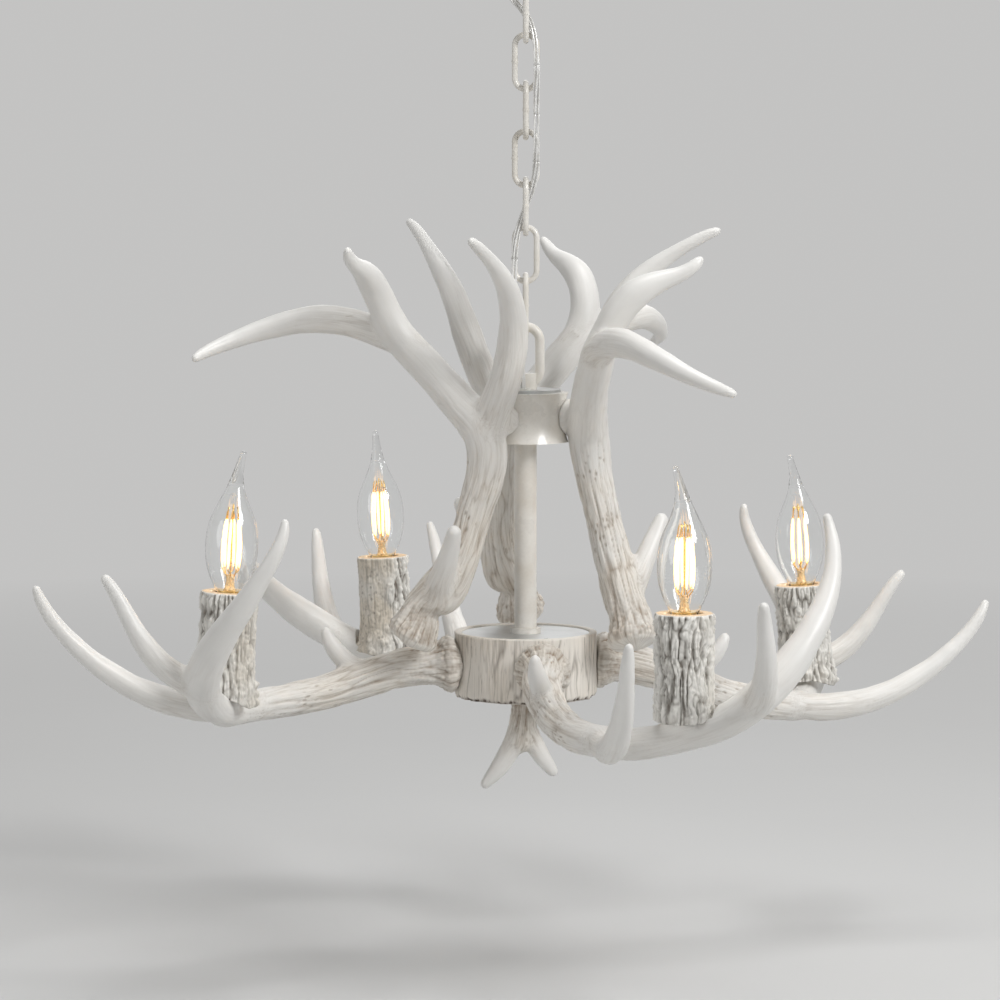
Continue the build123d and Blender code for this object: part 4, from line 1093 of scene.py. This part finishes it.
GLOW_STRENGTH = 3.4
stick_glow, tree, shader = shader_of(
    "filament glow", Base_Color=(1.0, 0.72, 0.3), Roughness=0.5, Emission_Strength=GLOW_STRENGTH
)
grains = noise_node(tree, own_place(tree), 900.0, 2.0)
put(shader.inputs["Emission Color"], mix_node(tree, grains, (1.0, 0.52, 0.16), (1.0, 0.64, 0.27)))

stem_glass, tree, shader = shader_of(
    "stem glass", Base_Color=(0.90, 0.68, 0.38), Roughness=0.25, IOR=1.45, Transmission_Weight=0.6
)
cloudy = noise_node(tree, own_place(tree), 400.0)
put(shader.inputs["Roughness"], range_node(tree, cloudy, 0.3, 0.7, 0.15, 0.4))
finishes.update(lamp_glass=lamp_glass, filament=stick_glow)

# %% [markdown]
# ## Dress the pieces
# A piece made here gets its materials in the order of its face indices. A CAD node's own slot in
# the record says which finish it gets.

# %% Dress the pieces
def dress(piece, *materials):
    """Gives a piece its materials. Clearing a list of them also sets each face back to the first,
    so it is done only where a CAD node already has one."""
    if len(piece.data.materials):
        piece.data.materials.clear()
    for material in materials:
        piece.data.materials.append(material)


for part in frame["record"]["subparts"]:
    dress(nodes[part["node"]], finishes[part["material_slot"]])
for piece in antlers:
    dress(piece, finishes["antler_resin"])
for piece in sleeves:
    dress(piece, finishes["bark_resin"], finishes["cut_end_and_painted_glow"])
for piece in filaments:
    dress(piece, stick_glow, finishes["gold_wire"], stem_glass)
for piece in cable_pieces:
    dress(piece, finishes["cable_pvc"])
dress(hub, finishes["hub_resin"])

# %% [markdown]
# ## Floor, light and backdrop
# The chandelier hangs free, so nothing but air is behind it. A pale floor lies well below it, and
# the world looks pale to the camera and to mirrors, but lights the object only softly. Four large
# plain lamps do the rest: a main one from the right and above, a weaker one from the left, one
# from behind that draws the edges, and one overhead.

# %% Floor and lamps
FLOOR_DROP = 0.12  # m under the finial
FLOOR_HALF = 6.0
FADE_FROM, FADE_TO = 0.9, 2.6  # m from the middle, where the floor turns into the backdrop
LAMPS = [
    # place in metres, size in metres, power in watts
    ((1.9, -1.6, 1.1), 1.1, 48.0),
    ((-2.3, -1.6, 0.2), 1.6, 13.0),
    ((0.3, 2.2, 0.9), 1.8, 9.0),
    ((0.2, -0.1, 1.7), 1.2, 22.0),
]
LOOK_AT = Vector((0, 0, RIM + 0.1))

SKY_LIGHT = 0.25  # what lights the object
SKY_SEEN = 0.55  # what the camera, mirrors and glass see
SKY_TINT = (1.0, 0.995, 0.985)


def seen_directly(tree):
    """1 for what the camera sees, also in a mirror or through glass, and 0 for what gives light."""
    paths = tree.nodes.new("ShaderNodeLightPath").outputs
    seen = sum_node(tree, "ADD", paths["Is Camera Ray"], paths["Is Glossy Ray"], True)
    return sum_node(tree, "ADD", seen, paths["Is Transmission Ray"], True)


low_z = cad_low[2] - FLOOR_DROP
edges = [(-1, -1), (1, -1), (1, 1), (-1, 1)]
floor = make_piece("floor", [(x * FLOOR_HALF, y * FLOOR_HALF, low_z) for x, y in edges], [[0, 1, 2, 3]])
floor_paint, tree, shader = shader_of("floor paint", Roughness=0.8)
place = own_place(tree)
floor_tone = mix_node(tree, noise_node(tree, place, 3.0), (0.58, 0.58, 0.575), (0.62, 0.62, 0.615))
put(shader.inputs["Base Color"], floor_tone)
distance = tree.nodes.new("ShaderNodeVectorMath")
distance.operation = "LENGTH"
put(distance.inputs[0], place)
haze = tree.nodes.new("ShaderNodeEmission")
put(haze.inputs["Color"], SKY_TINT)
put(haze.inputs["Strength"], SKY_SEEN)
fade = tree.nodes.new("ShaderNodeMixShader")
far_share = range_node(tree, distance.outputs["Value"], FADE_FROM, FADE_TO)
put(fade.inputs[0], product(tree, far_share, seen_directly(tree)))
put(fade.inputs[1], shader.outputs["BSDF"])
put(fade.inputs[2], haze.outputs["Emission"])
put(tree.nodes["Material Output"].inputs["Surface"], fade.outputs["Shader"])
dress(floor, floor_paint)

for number, (place, size, power) in enumerate(LAMPS):
    light = bpy.data.lights.new(f"lamp_{number}", "AREA")
    light.shape = "DISK"
    light.size = size
    light.energy = power
    holder = bpy.data.objects.new(f"studio_light_{number}", light)
    holder.location = place
    holder.rotation_euler = (LOOK_AT - Vector(place)).to_track_quat("-Z", "Y").to_euler()
    bpy.context.scene.collection.objects.link(holder)

world = bpy.data.worlds.new("studio")
bpy.context.scene.world = world
world.use_nodes = True
tree = world.node_tree
background = tree.nodes["Background"]
put(background.inputs["Strength"], range_node(tree, seen_directly(tree), 0, 1, SKY_LIGHT, SKY_SEEN))
put(background.inputs["Color"], SKY_TINT)
print("lamps", len(LAMPS))
